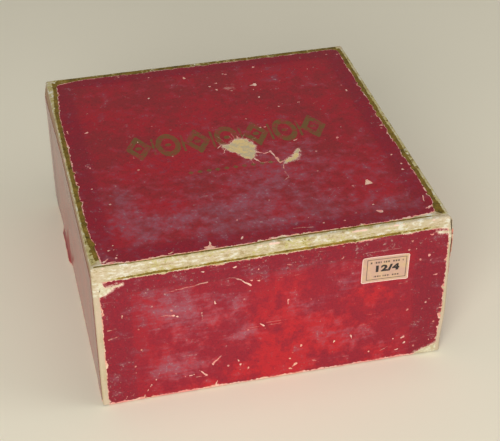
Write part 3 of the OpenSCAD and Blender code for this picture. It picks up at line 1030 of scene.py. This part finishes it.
# Chips and scratches on the top: x0, y0, x1, y1 and half width. In 57 of the 70 rows both ends
# come from the same separate script as on the front.
TOP_MARKS = [
    (-43.1, -126, -42.8, -120.5, 0.8), (-46.5, -129.4, -40, -130, 1.5),
    (-43.4, -131, -43.3, -126, 1.7), (81.4, -116.2, 79.1, -114.7, 1.7),
    (30, -123.6, 16, -121.5, 0.48), (-104.8, 43.1, -106.9, 42.5, 1.3),
    (80.2, -11.8, 79.6, -13.3, 1.1), (121.1, -17.1, 119.9, -25.5, 0.8),
    (-109, -9.5, -113.3, -2.4, 0.7), (38.8, 84.5, 34.7, 84.6, 1.1),
    (-20.3, -123.1, -20.9, -125.6, 0.8), (-112.4, -37.4, -112.4, -38.5, 0.8),
    (116.2, -104.9, 114.7, -112.4, 0.6), (6.4, 84.7, 5.8, 85.4, 1.2),
    (-69.7, -129.3, -73.9, -129.3, 0.8), (112, -46, 111.6, -45.9, 1.1),
    (36.8, 64.3, 35.6, 64.9, 1.1), (-10.7, -96.8, -14.9, -95.8, 0.48),
    (-107.9, -125.9, -108.6, -125.8, 0.9), (78.8, -106.5, 77.9, -106.6, 1.0),
    (120.5, -66.6, 120.4, -71.1, 0.6), (54.2, -121.5, 51.6, -121.1, 0.8),
    (107.9, 57.9, 108.3, 55.1, 0.8), (30.5, 17.2, 29.4, 17.4, 1.0), (65.9, 48.4, 64.9, 47.9, 0.9),
    (-0.9, -128.5, -2.6, -128.3, 0.6), (118.8, -117.7, 114.2, -121.1, 0.7),
    (113.9, -67.5, 112.6, -67.9, 0.8), (118.7, -2.9, 117, -3.3, 0.8), (87.9, 3.6, 87.4, 1.9, 0.55),
    (-49, 84.4, -50.6, 85.9, 0.8), (69.4, -70.9, 68.7, -70.1, 0.8), (49.1, 45.5, 48.1, 47, 0.8),
    (-68.4, 18.3, -69.1, 20.1, 0.6), (-18.9, -101.8, -19.6, -102.1, 0.7),
    (30, -111.4, 28.3, -111.9, 0.55), (-73.9, 18.7, -73.8, 16.5, 0.55),
    (115, -59.7, 114.8, -59.1, 0.8), (119.6, 26, 119.9, 24, 0.6), (27, 17.4, 26.5, 17.5, 0.8),
    (-75.9, -0.7, -75.5, -4.1, 0.48), (-108.2, -116.1, -108.4, -116.4, 0.65),
    (-107.7, -103.5, -107.6, -103.7, 0.6), (-107.6, -111.5, -107.7, -111.9, 0.55),
    (-107, -123, -107.4, -123.4, 0.6), (9.3, -82.7, 8.4, -84.4, 0.48),
    (35.5, 77.8, 35.5, 76.6, 0.55), (120.1, -98.1, 120, -99.3, 0.55),
    (-28.3, -61, -30, -60.5, 0.48), (113, -120.4, 121.4, -116.2, 0.6),
    (120.9, -121.4, 118.4, -118.2, 0.7), (-119, -123, -119.6, -118, 0.6),
    (-117, -129, -113.8, -126, 1.0), (-114.4, -130.6, -108, -130.4, 0.9),
    (-119.4, 49, -118.6, 42, 0.8), (-14.9, 110.2, -15.9, 112.7, 1.3),
    (44.3, 114.8, 42.9, 115.3, 1.1), (19.3, 107.9, 16.1, 110.3, 0.9), (8.2, 95.4, 6.8, 95.6, 1.1),
    (2.2, 91.3, 1.7, 91.7, 1.0), (39.8, 86.9, 35.2, 87, 0.7), (-23.5, 100.1, -23.2, 96.3, 0.6),
    (-43.1, 118.1, -44.1, 116.9, 0.9), (86.6, 100.4, 85.9, 100.7, 0.9),
    (109.3, 120.9, 108.4, 119.7, 0.9), (117.9, 118.4, 117.2, 118.1, 1.0),
    (-17.7, 119.1, -18.3, 118.4, 0.8), (-46.5, 119.3, -48.4, 119.2, 0.6),
    (49, 105.9, 48.9, 105.8, 0.7), (86.5, 122.1, 86, 122.3, 0.7),
]
# A triangle scuffed off near the right front
TOP_TRIANGLE = [(80.8, -81), (87.6, -80), (84, -72.6)]
# The torn place where a label was: its bare middle, and the tag at the end of its arm
TOP_TEARS = [
    [(-8, 0), (-3.5, -0.5), (2.5, 3.5), (7, 5.5), (12, 3.5), (15, -2), (16, -8), (15, -17.5),
     (12, -25.5), (9.5, -27), (5.5, -24.5), (2.5, -19), (0, -13.5), (-3.5, -12.5), (-6.5, -7)],
    [(34, -33), (39, -30.5), (44.5, -23), (47, -20.5), (46.5, -27.5), (42, -35), (35.5, -37),
     (31, -39)],
]
# The arm between the two, and the cracks that run out from them
TOP_CRACKS = [
    (16, -17, 20.5, -20.5, 0.9), (20.5, -20.5, 26, -18.5, 0.6), (26, -18.5, 28, -29, 0.8),
    (28, -29, 29, -36, 1.0), (29, -36, 34, -33, 0.8), (30, -40, 29.5, -48, 0.5),
    (29.5, -48, 30, -57, 0.35), (30, -57, 25, -61, 0.35), (12, -26, 16, -33, 0.6),
    (16, -33, 27, -34, 0.4), (9, -27, 10, -33, 0.4), (-8, 0, -13, -6, 0.5), (-6, -7, -10, -13, 0.5),
    (-6, -2, -12, 8, 0.35), (-3, 0, -9, 14, 0.3), (2, 4, 1, 12, 0.4), (6, 6, 6, 13, 0.5),
    (4, 5, 3, 16, 0.25), (10, 5, 12, 11, 0.3), (14, 0, 20, 4, 0.25),
]
# Clouds of chalky haze on the top: x, y, half width, half height and strength
TOP_CLOUDS = [
    (-60, -92, 40, 16, 0.8), (-95, -70, 16, 34, 0.6), (0, -80, 34, 22, 0.9),
    (28, -45, 26, 22, 0.75), (60, -102, 46, 14, 0.5), (38, -20, 26, 14, 0.5),
    (85, -60, 26, 26, 0.2), (-30, -40, 26, 16, 0.45), (-90, 90, 26, 26, 0.35),
    (20, 100, 60, 16, 0.3), (5, 28, 40, 9, 0.5), (80, 80, 24, 16, 0.35), (-20, -112, 60, 8, 0.7),
    (100, -110, 16, 10, 0.5),
]


def front_droop(x):
    """How much nearer the arris the front border of the top paper lies towards the left, in mm."""
    return 2.0 * ramp(x, 8, -25) + 0.9 * ramp(x, -112, -102) * ramp(x, -76, -86)


def frieze(x, y):
    """Signed distance to the dulled gilt ornament: lozenges and roundels in turn, each a ring
    with a dot in it, a bar between each two, and a row of small lozenges in front."""
    middle, front = 9.5, -33.5
    ring_inset, ring_half, dot, bar_half, bar_reach, small = 2.6, 2.3, 2.4, 0.9, 12, 2.3
    shapes = []
    for number, cx in enumerate(np.linspace(-70, 67, 7)):
        dx, dy = np.abs(x - cx), np.abs(y - middle)
        if number % 2:
            shape = (np.hypot(dx / 9.5, dy / 17) - 1) * 11
        else:
            shape = (dx / 10.5 + dy / 19 - 1) * 9.2
        shapes += [np.abs(shape + ring_inset) - ring_half, np.hypot(dx, dy) - dot]
    for cx in np.linspace(-58.5, 55.5, 6):
        shapes.append(np.maximum(np.abs(x - cx) - bar_half, np.abs(y - middle) - bar_reach))
    for cx in np.linspace(-38, 36, 12):
        shapes.append(np.abs(x - cx) + np.abs(y - front) - small)
    return np.minimum.reduce(shapes)


def top_sheet(wear):
    """Places of the top paper's points, and how far they lie inside its border and inside the
    edging's flange. A border is the even grid's, moved in by the depth of its nicks, and at a
    corner by r - √(r² - d²), d being how far a point lies past the start of the bend. The move
    fades out over some millimetres."""
    half_x, half_y = TOP_HIGH[:2]
    seed = wear.seed * 100 + 50
    x = spread(-half_x, half_x, 1.3, 0.6, 7, (-20, 52))[None, :]
    y = spread(-half_y, half_y, 1.3, 0.6, 7, (-44, 14))[:, None]
    radius = 3.2
    from_side = np.clip(radius - (half_x - np.abs(x)), 0, radius)
    corner = radius - np.sqrt(np.maximum(radius**2 - from_side**2, 0))
    left = nicks(y, seed + 1, wear.nibble * 0.9) - 1.7 + 3.2 * ramp(np.abs(y + 5), 75, 128)
    right = nicks(y, seed + 2, wear.nibble * 0.9) + 2.5 * ramp(y, -108, -130)
    front = nicks(x, seed + 3, wear.nibble * 0.8) - 0.9 + corner + 3.2 * ramp(x, 92, 121)
    front = front - front_droop(x)
    back = nicks(x, seed + 4, wear.nibble) + corner + 3.5 * ramp(x, -92, -121)
    px = x + left * ramp(x + half_x, 10, 0) - right * ramp(half_x - x, 10, 0)
    py = y + front * ramp(y + half_y, 10, 0) - back * ramp(half_y - y, 10, 0)
    border = np.minimum.reduce([
        px + half_x - left, half_x - right - px, py + half_y - front, half_y - back - py,
    ])
    inside = np.minimum(GILT_X - FLANGE - np.abs(px), GILT_Y - FLANGE - np.abs(py))
    return SimpleNamespace(x=px, y=py, rows=y[:, 0], border=border, inside=inside, seed=seed)


def top_fields(t, wear):
    """Wear of the top paper: scuffed border, chips, scratches, the torn place, haze and gilt."""
    x, y, seed = t.x, t.y, t.seed
    fringe = fringes(x, y, wear, 2.8, seed + 6, seed + 9)
    ridge = np.where(grain(x, y, 5, seed + 7) > 0.6, np.abs(t.inside), 2)
    front_left = ramp(y, -60, -110) * ramp(x, -60, -100)
    scar = np.minimum(outline(x, y, TOP_TRIANGLE), ridge + 1.5 * (1 - front_left))
    marks = TOP_MARKS + TOP_CRACKS + random_marks(12, 115, -120, 120, seed)
    scar, scratch = scuffed(*ragged(x, y, seed + 3, 2.0), marks, scar, ridge + 0.3)
    bare = nearest_of(x, y, TOP_TEARS) + 4.2 * (grain(x, y, 4.5, seed + 8) - 0.5)
    uneven = t.inside + 9 * (grain(x, y, 22, seed + 10) - 0.5)
    margin = 0.2 * ramp(t.inside, 2.5, -1.0) + 0.25 * ramp(uneven, 16, -8)
    haze = 0.7 * clouds(x, y, TOP_CLOUDS) + 0.3 * ramp(y, 30, -60)
    return {
        "scar": worn(scar),
        "fray": worn(t.border - fringe, 1.6),
        "scratch": worn(scratch),
        "bare": worn(bare, 2.5),
        "margin": margin,
        "haze": haze * (1 - margin),
        "gild": worn(np.where(bare < 0, FAR, frieze(x, y))),
    }


def make_top_paper():
    """Builds the top paper: a thin closed sheet with ragged borders and rounded corners, that
    steps down inside the gilt edging's flange."""
    wear = bpy.context.scene.game_box_wear
    t = top_sheet(wear)
    fields = top_fields(t, wear)
    swell = 0.07 * (grain(t.x, t.y, 55, t.seed + 5) - 0.5) * ramp(t.inside, 0, 20)
    sunk = SUNK * ramp(fields["scar"] + fields["bare"], 0.95, 1.6)
    level = TOP_LOW[2] + PAPER + EDGING * ramp(t.inside, 0.8, -0.2) + swell - sunk
    under = TOP_LOW[2] + EDGING * ramp(t.inside, 0.4, 0.0)
    step, beside = GILT_Y - FLANGE, 0.6
    levels = (-step - beside, -step + beside, step - beside, step + beside)
    kept = sorted({0, *nearest(t.rows, *levels), len(t.rows) - 1})
    # Its 0.3 darkens the top paper towards the shade colour: painted shade
    finish = red_paper("Red glazed paper, blocked, painted shade", wear.chalk, 0.4, 0.3, True)
    face, back = grid(t.x, t.y, level), grid(t.x, t.y, under)
    piece("papers_top", face, back, fields, finish, "top_paper", kept)


# ---------------------------------------------------------------- gilt edging and linen stays


def ring_side(side, s, turn, inset, radius):
    """Distances along one side and out from the middle, on a rounded rectangle set in from the
    edging's outside. turn is the angle round the corner at either end, 0 on the straight, where s
    runs; at a corner s is ±1, and the point lies (reach - r) + r sin(turn) along the side and
    (distance - r) + r cos(turn) out."""
    reach, distance = (abs(way @ (GILT_X, GILT_Y)) - inset for way in SIDES[side][::-1])
    run = s * (reach - radius) + radius * np.sin(turn)
    return run, distance - radius + radius * np.cos(turn)


def side_columns(half, step):
    """s from -1 to 1 and the corner angle for each column of a strip with an eighth of a turn at
    each end."""
    straight = np.linspace(-1, 1, int(2 * half / step))
    bend = np.linspace(0, np.pi / 4, 5)[1:]
    end = np.ones(len(bend))
    s = np.concatenate([-end, straight, end])
    turn = np.concatenate([-bend[::-1], 0 * straight, bend])
    return s[None, :], turn[None, :]


def gilt_left(side, arris, run, half, seed):
    """How much gilt is left, from 0 to 1, at a distance from the arris: positive on the top
    flange, negative down the wall. It lasts beside the papers and wears first on the arris."""
    from_middle = np.abs(run)
    patches = ramp(grain(run, arris * 3, 14, seed + 1), 0.42, 0.7)
    if side == "front":
        wave = grain(run, 0, 9, seed) - 0.5
        high_line = TOP_GAP - 1.5 - front_droop(run)
        beside_top = ramp(np.abs(arris - high_line + wave * 0.4), 1.1, 0.4)
        beside_top = beside_top * ramp(run, half - 8, half - 16)
        low_line = SIDE_GAP - 1.5 - 1.9 * run / half - wave * 0.6
        beside_wall = ramp(np.abs(arris + low_line), 1.5, 0.5) * (0.7 + 0.3 * patches)
        beside_wall = beside_wall * ramp(from_middle, half - 8, half - 22)
        between = (0.2 + 0.26 * patches) * (0.7 + 0.5 * ramp(run, 0, 50))
        return np.maximum.reduce([beside_top, beside_wall, between * ramp(from_middle, 110, 84)])
    if side == "left":
        border = TOP_GAP - 1.7 + 3.2 * ramp(np.abs(run - 5), 75, 128)
        olive = ramp(arris, border - 3.6, border - 2.2) * ramp(run, half - 5, half - 12)
        pale = (0.44 + 0.12 * patches) * ramp(arris, -0.6, 0.6)
        return np.maximum(olive * 0.95, pale) * ramp(run, half, half - 10)
    corner = ramp(from_middle - half, -1, -9)
    if side == "right":
        olive = ramp(arris, 2.1 + 0.8 * patches, 3.1 + 0.8 * patches)
        olive = olive * ramp(run, 2 - half, 6 - half)
        return np.maximum(olive * 0.95, 0.3 + 0.2 * patches) * corner
    flange = np.where(arris > 0, ramp(np.abs(arris - 0.4), 0.5, 1.3), 0.0)
    return (np.maximum(flange * 0.7, 0.4) + 0.15 * patches) * corner


def make_edging(side):
    """Builds one strip of gilt edging: a flange on the top, a quarter turn round the arris and a
    flange down the wall, carried along one side and mitred half-way round both corners. Round the
    arris a point stands in by r (1 - sin(angle)) and lies r (1 - cos(angle)) below the top."""
    seed = bpy.context.scene.game_box_wear.seed * 100 + 60 + list(SIDES).index(side)
    half = abs(SIDES[side][1] @ (GILT_X, GILT_Y))
    s, turn = side_columns(half, 0.9)
    # Rows: finer from 8 mm in on the top, round the arris, and down to 107 mm up the wall
    fine_top, fine_wall = 8, 107
    quarter = np.linspace(0, np.pi / 2, 7)[1:-1]
    top = [np.linspace(FLANGE, fine_top, 6)[:-1], np.linspace(fine_top, ARRIS_R, 13)]
    wall = [
        np.linspace(GILT_TOP - ARRIS_R, fine_wall, 22),
        np.linspace(fine_wall, EDGING_LOW[2], 7)[1:],
    ]
    top, wall = np.concatenate(top), GILT_TOP - np.concatenate(wall)
    inset, drop, arris = (
        np.concatenate(rows)[:, None]
        for rows in (
            (top, ARRIS_R * (1 - np.sin(quarter)), 0 * wall),
            (0 * top, ARRIS_R * (1 - np.cos(quarter)), wall),
            (top, ARRIS_R * (0.5 - quarter / (np.pi / 2)), -wall),
        )
    )
    rub = 0.132 * grain(s * half, 0, 11, seed + 2) * ramp(np.abs(arris), 3, 0)
    dent = 0.12 * (grain(s * half, arris * 2, 6, seed + 3) - 0.5) * ramp(np.abs(arris), 12, 6)

    def layer(thick):
        """Distances along the side, and points, of the strip's face or of its back."""
        radius = np.maximum(CORNER_R - thick - inset, 0.08)
        run, out = ring_side(side, s, turn, inset + thick + rub, radius)
        z = GILT_TOP - thick * (inset > 0) - drop - rub + dent * (inset > 0.5)
        return run, on_side(side, run, out, z)

    run, face = layer(0.0)
    _, back = layer(EDGING * 0.9)
    bitten = ramp(grain(run, 0, 8, seed + 4), 0.62, 0.8)
    fields = {
        "gilt": gilt_left(side, arris, run, half, seed),
        # Marks the left strip's flange down the wall, all but its last 3 mm by the front corner,
        # for painted shade
        "soil_and_shade": ramp(arris, 0.0, -1.5) * (side == "left") * ramp(run, half, half - 3),
        "scar": worn(np.abs(arris + 0.3) + 0.4 - 1.1 * bitten),
    }
    if side == "right":
        z = face[..., 2]
        curl = 1.2 * ramp(run, 12 - half, 3 - half) * ramp(z, 121, 118) * ramp(z, 108, 112)
        face[..., 0] += curl
        back[..., 0] += curl
    name, finish = "gilt_edging_" + side, gilt_paper("Gilt edging paper")
    piece(name, face, back, fields, finish, "edging_" + side)


def make_stay(node):
    """Builds one linen stay: a band bent round a vertical corner of the lid's board, with a
    rough face. The columns run round the corner from one free edge to the other."""
    low, high = node_mm(node)
    seed = bpy.context.scene.game_box_wear.seed * 100 + 70 + 2 * int(low[0] > 0) + int(low[1] > 0)
    sign = np.sign(low[:2] + high[:2])
    radius = CORNER_R - EDGING
    leg = STAY_LEG - radius
    flat = spread(0, leg, 1.6, 0.8, 5)
    bend = np.linspace(0, np.pi / 2, 9)[1:-1]
    run, turn, x_off, y_off = (
        np.concatenate(columns)[None, :]
        for columns in (
            (flat - leg, radius * bend, radius * np.pi / 2 + flat),
            (0 * flat, bend, np.pi / 2 + 0 * flat),
            (leg - flat, 0 * bend, 0 * flat),
            (0 * flat, 0 * bend, flat),
        )
    )
    z = np.linspace(high[2], low[2], 120)[:, None]
    rough = 0.06 * (grain(run, z, 2.2, seed) - 0.5)

    def layer(thick):
        """Points of the band's face or of its back: round the bend x and y are the bend's middle
        plus (r - depth) times the sine and the cosine of the angle, and beside it they run
        straight along the wall."""
        reach = radius - thick + rough
        x = BOARD_HIGH[0] + STAY - radius - x_off + reach * np.sin(turn)
        y = BOARD_HIGH[1] + STAY - radius - y_off + reach * np.cos(turn)
        return grid(sign[0] * x, sign[1] * y, z)

    name, finish = node.replace("lid_stay", "linen_stay"), linen_cloth("Stay linen")
    face, back = layer(0.0), layer(STAY * 0.9)
    piece(name, face, back, {}, finish, node, uv=grid(run, z))


# ---------------------------------------------------------------- the price ticket


def ticket_place(across, up, lift):
    """Points of the ticket on the front paper: x is the centre's plus across · cos(slope) + up ·
    sin(slope), and z is the centre's less across · sin(slope) and plus up · cos(slope)."""
    slope = bpy.context.scene.game_box_wear.slope
    c, s = np.cos(slope), np.sin(slope)
    centre = (TICKET_LOW + TICKET_HIGH) / 2
    x = centre[0] + across * c + up * s
    z = centre[2] - across * s + up * c
    return grid(x, TICKET_HIGH[1] - lift, z)


def make_slip():
    """Builds the ticket's slip of paper, whose round corners have lifted a little. At a height that
    lies d past the start of a corner, the slip's half width is w - r + √(r² - d²)."""
    wear = bpy.context.scene.game_box_wear
    c, s = np.cos(wear.slope), np.sin(wear.slope)
    reach = TICKET_HIGH - TICKET_LOW
    half_width = (reach[0] * c - reach[2] * s) / (c * c - s * s) / 2
    half_height = (reach[2] * c - reach[0] * s) / (c * c - s * s) / 2
    radius, glue = 1.5, 0.02
    up = spread(-half_height, half_height, 0.8, 0.2, radius)[::-1, None]
    over = np.maximum(np.abs(up) - (half_height - radius), 0)
    half = half_width - radius + np.sqrt(np.maximum(radius**2 - over**2, glue**2))
    across = spread(-1, 1, 0.05, 0.02, 0.1)[None, :] * half
    curl = 0.5 * ramp(np.abs(across) / half_width * np.abs(up) / half_height, 0.6, 1.0)
    wave = 0.05 * grain(across, up, 8, wear.seed)
    face = ticket_place(across, up, reach[1] + curl + wave)
    back = ticket_place(across, up, glue + curl)
    uv, finish = grid(across, up), ticket_paper("Ticket paper")
    piece("ticket_slip", face, back, {}, finish, "price_ticket", uv=uv)


def make_number():
    """Builds the plain number printed on the ticket, in wide figures."""
    text = bpy.data.curves.new("ticket_number", "FONT")
    text.body = "12/4"
    text.size = 7.0
    text.offset = 0.4
    text.extrude = 0.02
    text.space_character = 1.12
    text.align_x, text.align_y = "CENTER", "CENTER"
    drawn = bpy.data.objects.new("ticket_number", text)
    bpy.context.scene.collection.objects.link(drawn)
    bpy.context.view_layer.update()
    mesh = bpy.data.meshes.new_from_object(drawn)
    bpy.data.objects.remove(drawn)
    flat = np.empty(len(mesh.vertices) * 3)
    mesh.vertices.foreach_get("co", flat)
    x, y, z = flat.reshape(-1, 3).T
    stretch, rise, lift = 1.35, 0.3, TICKET_HIGH[1] - TICKET_LOW[1] + 0.06
    placed = sprung(ticket_place(x * stretch + PRINT_SHIFT, y + rise, lift + z))
    mesh.vertices.foreach_set("co", (placed * MM).ravel())
    mesh.update()
    mesh.materials.clear()
    mesh.materials.append(printing_ink("Printing ink"))
    number = bpy.data.objects.new("ticket_number", mesh)
    bpy.context.scene.collection.objects.link(number)
    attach(number, "lid")


# ---------------------------------------------------------------- boards, linings and tray


def dress(names, finish):
    """Gives CAD nodes that stay as they are a finish."""
    for name in names:
        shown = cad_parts[name]
        shown.data.materials.clear()
        shown.data.materials.append(finish)


def nodes_called(start):
    """Names of the CAD nodes that begin with a word, in order."""
    return sorted(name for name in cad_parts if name.startswith(start))


def make_boards():
    """Finishes the boards, the linings, the tray's stays and its papers."""
    dress(["lid_board", "tray_board"], strawboard("Strawboard"))
    dress(["lid_lining", "tray_lining"], white_paper("Lining paper", 0.45))
    dress(["tray_bottom_paper"], white_paper("Bottom paper", 0.8))
    dress(["tray_wrap"], red_paper("Red glazed paper, sheltered", 0.2, 0.8))
    dress(nodes_called("tray_stay"), linen_cloth("Tray stay linen"))


# ---------------------------------------------------------------- stage


def make_floor():
    """Makes the floor that the box stands on."""
    reach = 6.0
    corners = [(x * reach, y * reach, 0) for x, y in ((-1, -1), (1, -1), (1, 1), (-1, 1))]
    mesh = bpy.data.meshes.new("floor")
    mesh.from_pydata(corners, [], [(0, 1, 2, 3)])
    mesh.materials.append(pale_floor("Pale floor"))
    floor = bpy.data.objects.new("floor", mesh)
    bpy.context.scene.collection.objects.link(floor)


def make_lamp(name, place, size, power):
    """Makes a round soft lamp that faces the box."""
    target = Vector((0, 0, 0.05))
    lamp = bpy.data.lights.new(name, "AREA")
    lamp.shape = "DISK"
    lamp.size = size
    lamp.energy = power
    holder = bpy.data.objects.new(name, lamp)
    holder.location = place
    holder.rotation_euler = (target - Vector(place)).to_track_quat("-Z", "Y").to_euler()
    bpy.context.scene.collection.objects.link(holder)


def make_camera(studio):
    """Makes the camera, turned by its azimuth, its fall and its roll."""
    az, fall, roll = studio.azimuth, studio.fall, studio.roll
    ahead = Vector((np.sin(az) * np.cos(fall), np.cos(az) * np.cos(fall), -np.sin(fall)))
    level = Vector((np.cos(az), -np.sin(az), 0))
    upright = level.cross(ahead)
    right = level * np.cos(roll) + upright * np.sin(roll)
    up = upright * np.cos(roll) - level * np.sin(roll)
    camera = bpy.data.cameras.new("camera")
    camera.lens = studio.lens
    camera.sensor_width = 36
    camera.clip_start = 0.05
    holder = bpy.data.objects.new("camera", camera)
    turned = Matrix((right, up, -ahead)).transposed().to_4x4()
    turned.translation = studio.place
    holder.matrix_world = turned
    bpy.context.scene.collection.objects.link(holder)
    bpy.context.scene.camera = holder


def make_stage():
    """Makes the floor, the lamps, the world and the camera."""
    scene = bpy.context.scene
    studio = scene.game_box_studio
    make_floor()
    make_lamp("key_lamp", (-0.75, -1.8, 1.0), 1.4, studio.key)
    make_lamp("side_lamp", (1.7, -0.7, 1.1), 1.4, 0.3 * studio.key)
    make_lamp("top_lamp", (0.1, -0.2, 2.1), 1.6, 0.2 * studio.key)
    world = bpy.data.worlds.new("Soft studio")
    world.use_nodes = True
    sky = world.node_tree.nodes["Background"].inputs
    sky["Color"].default_value = (1, 0.98, 0.95, 1)
    sky["Strength"].default_value = studio.sky
    scene.world = world
    scene.view_settings.view_transform = "Standard"
    make_camera(studio)


# ---------------------------------------------------------------- operators, panel and run


class GAMEBOX_OT_boards(bpy.types.Operator):
    """Finish the boards, the linings and the tray"""

    bl_idname = "gamebox.boards"
    bl_label = "Boards and Tray"

    def execute(self, context):
        make_boards()
        return {"FINISHED"}


class GAMEBOX_OT_stays(bpy.types.Operator):
    """Build the four linen stays at the lid's corners"""

    bl_idname = "gamebox.stays"
    bl_label = "Linen Stays"

    def execute(self, context):
        for node in nodes_called("lid_stay"):
            make_stay(node)
        return {"FINISHED"}


class GAMEBOX_OT_edging(bpy.types.Operator):
    """Build the four mitred strips of gilt edging"""

    bl_idname = "gamebox.edging"
    bl_label = "Gilt Edging"

    def execute(self, context):
        for side in SIDES:
            make_edging(side)
        return {"FINISHED"}


class GAMEBOX_OT_wall_papers(bpy.types.Operator):
    """Build the four red papers on the lid's walls"""

    bl_idname = "gamebox.wall_papers"
    bl_label = "Wall Papers"

    def execute(self, context):
        for side in SIDES:
            make_wall_paper(side)
        return {"FINISHED"}


class GAMEBOX_OT_top_paper(bpy.types.Operator):
    """Build the red paper on the lid's top, with its gilt ornament"""

    bl_idname = "gamebox.top_paper"
    bl_label = "Top Paper"

    def execute(self, context):
        make_top_paper()
        return {"FINISHED"}


class GAMEBOX_OT_ticket(bpy.types.Operator):
    """Build the price ticket and its number"""

    bl_idname = "gamebox.ticket"
    bl_label = "Price Ticket"

    def execute(self, context):
        make_slip()
        make_number()
        return {"FINISHED"}


class GAMEBOX_OT_stage(bpy.types.Operator):
    """Make the floor, the light and the camera"""

    bl_idname = "gamebox.stage"
    bl_label = "Stage"

    def execute(self, context):
        make_stage()
        return {"FINISHED"}


STEPS = (
    GAMEBOX_OT_boards,
    GAMEBOX_OT_stays,
    GAMEBOX_OT_edging,
    GAMEBOX_OT_wall_papers,
    GAMEBOX_OT_top_paper,
    GAMEBOX_OT_ticket,
    GAMEBOX_OT_stage,
)
GROUPS = {
    "game_box_wear": GameBoxWear,
    "game_box_colours": GameBoxColours,
    "game_box_studio": GameBoxStudio,
}


class GAMEBOX_PT_panel(bpy.types.Panel):
    """Lists the steps and the values of the game box"""

    bl_idname = "GAMEBOX_PT_panel"
    bl_label = "Game Box"
    bl_space_type = "VIEW_3D"
    bl_region_type = "UI"
    bl_category = "Game Box"

    def draw(self, context):
        for step in STEPS:
            self.layout.operator(step.bl_idname)
        for name, group in GROUPS.items():
            for key in group.__annotations__:
                self.layout.prop(getattr(context.scene, name), key)


def register():
    """Registers the classes and puts the property groups on the scene."""
    for made in (*GROUPS.values(), *STEPS, GAMEBOX_PT_panel):
        bpy.utils.register_class(made)
    for key, group in GROUPS.items():
        setattr(bpy.types.Scene, key, PointerProperty(type=group))


def unregister():
    """Takes the property groups and the classes away again."""
    for key in GROUPS:
        delattr(bpy.types.Scene, key)
    for made in (GAMEBOX_PT_panel, *reversed(STEPS), *GROUPS.values()):
        bpy.utils.unregister_class(made)


def main():
    """Registers the classes and builds everything in order."""
    register()
    for step in STEPS:
        group, name = step.bl_idname.split(".")
        getattr(getattr(bpy.ops, group), name)()


if __name__ == "__main__":
    main()
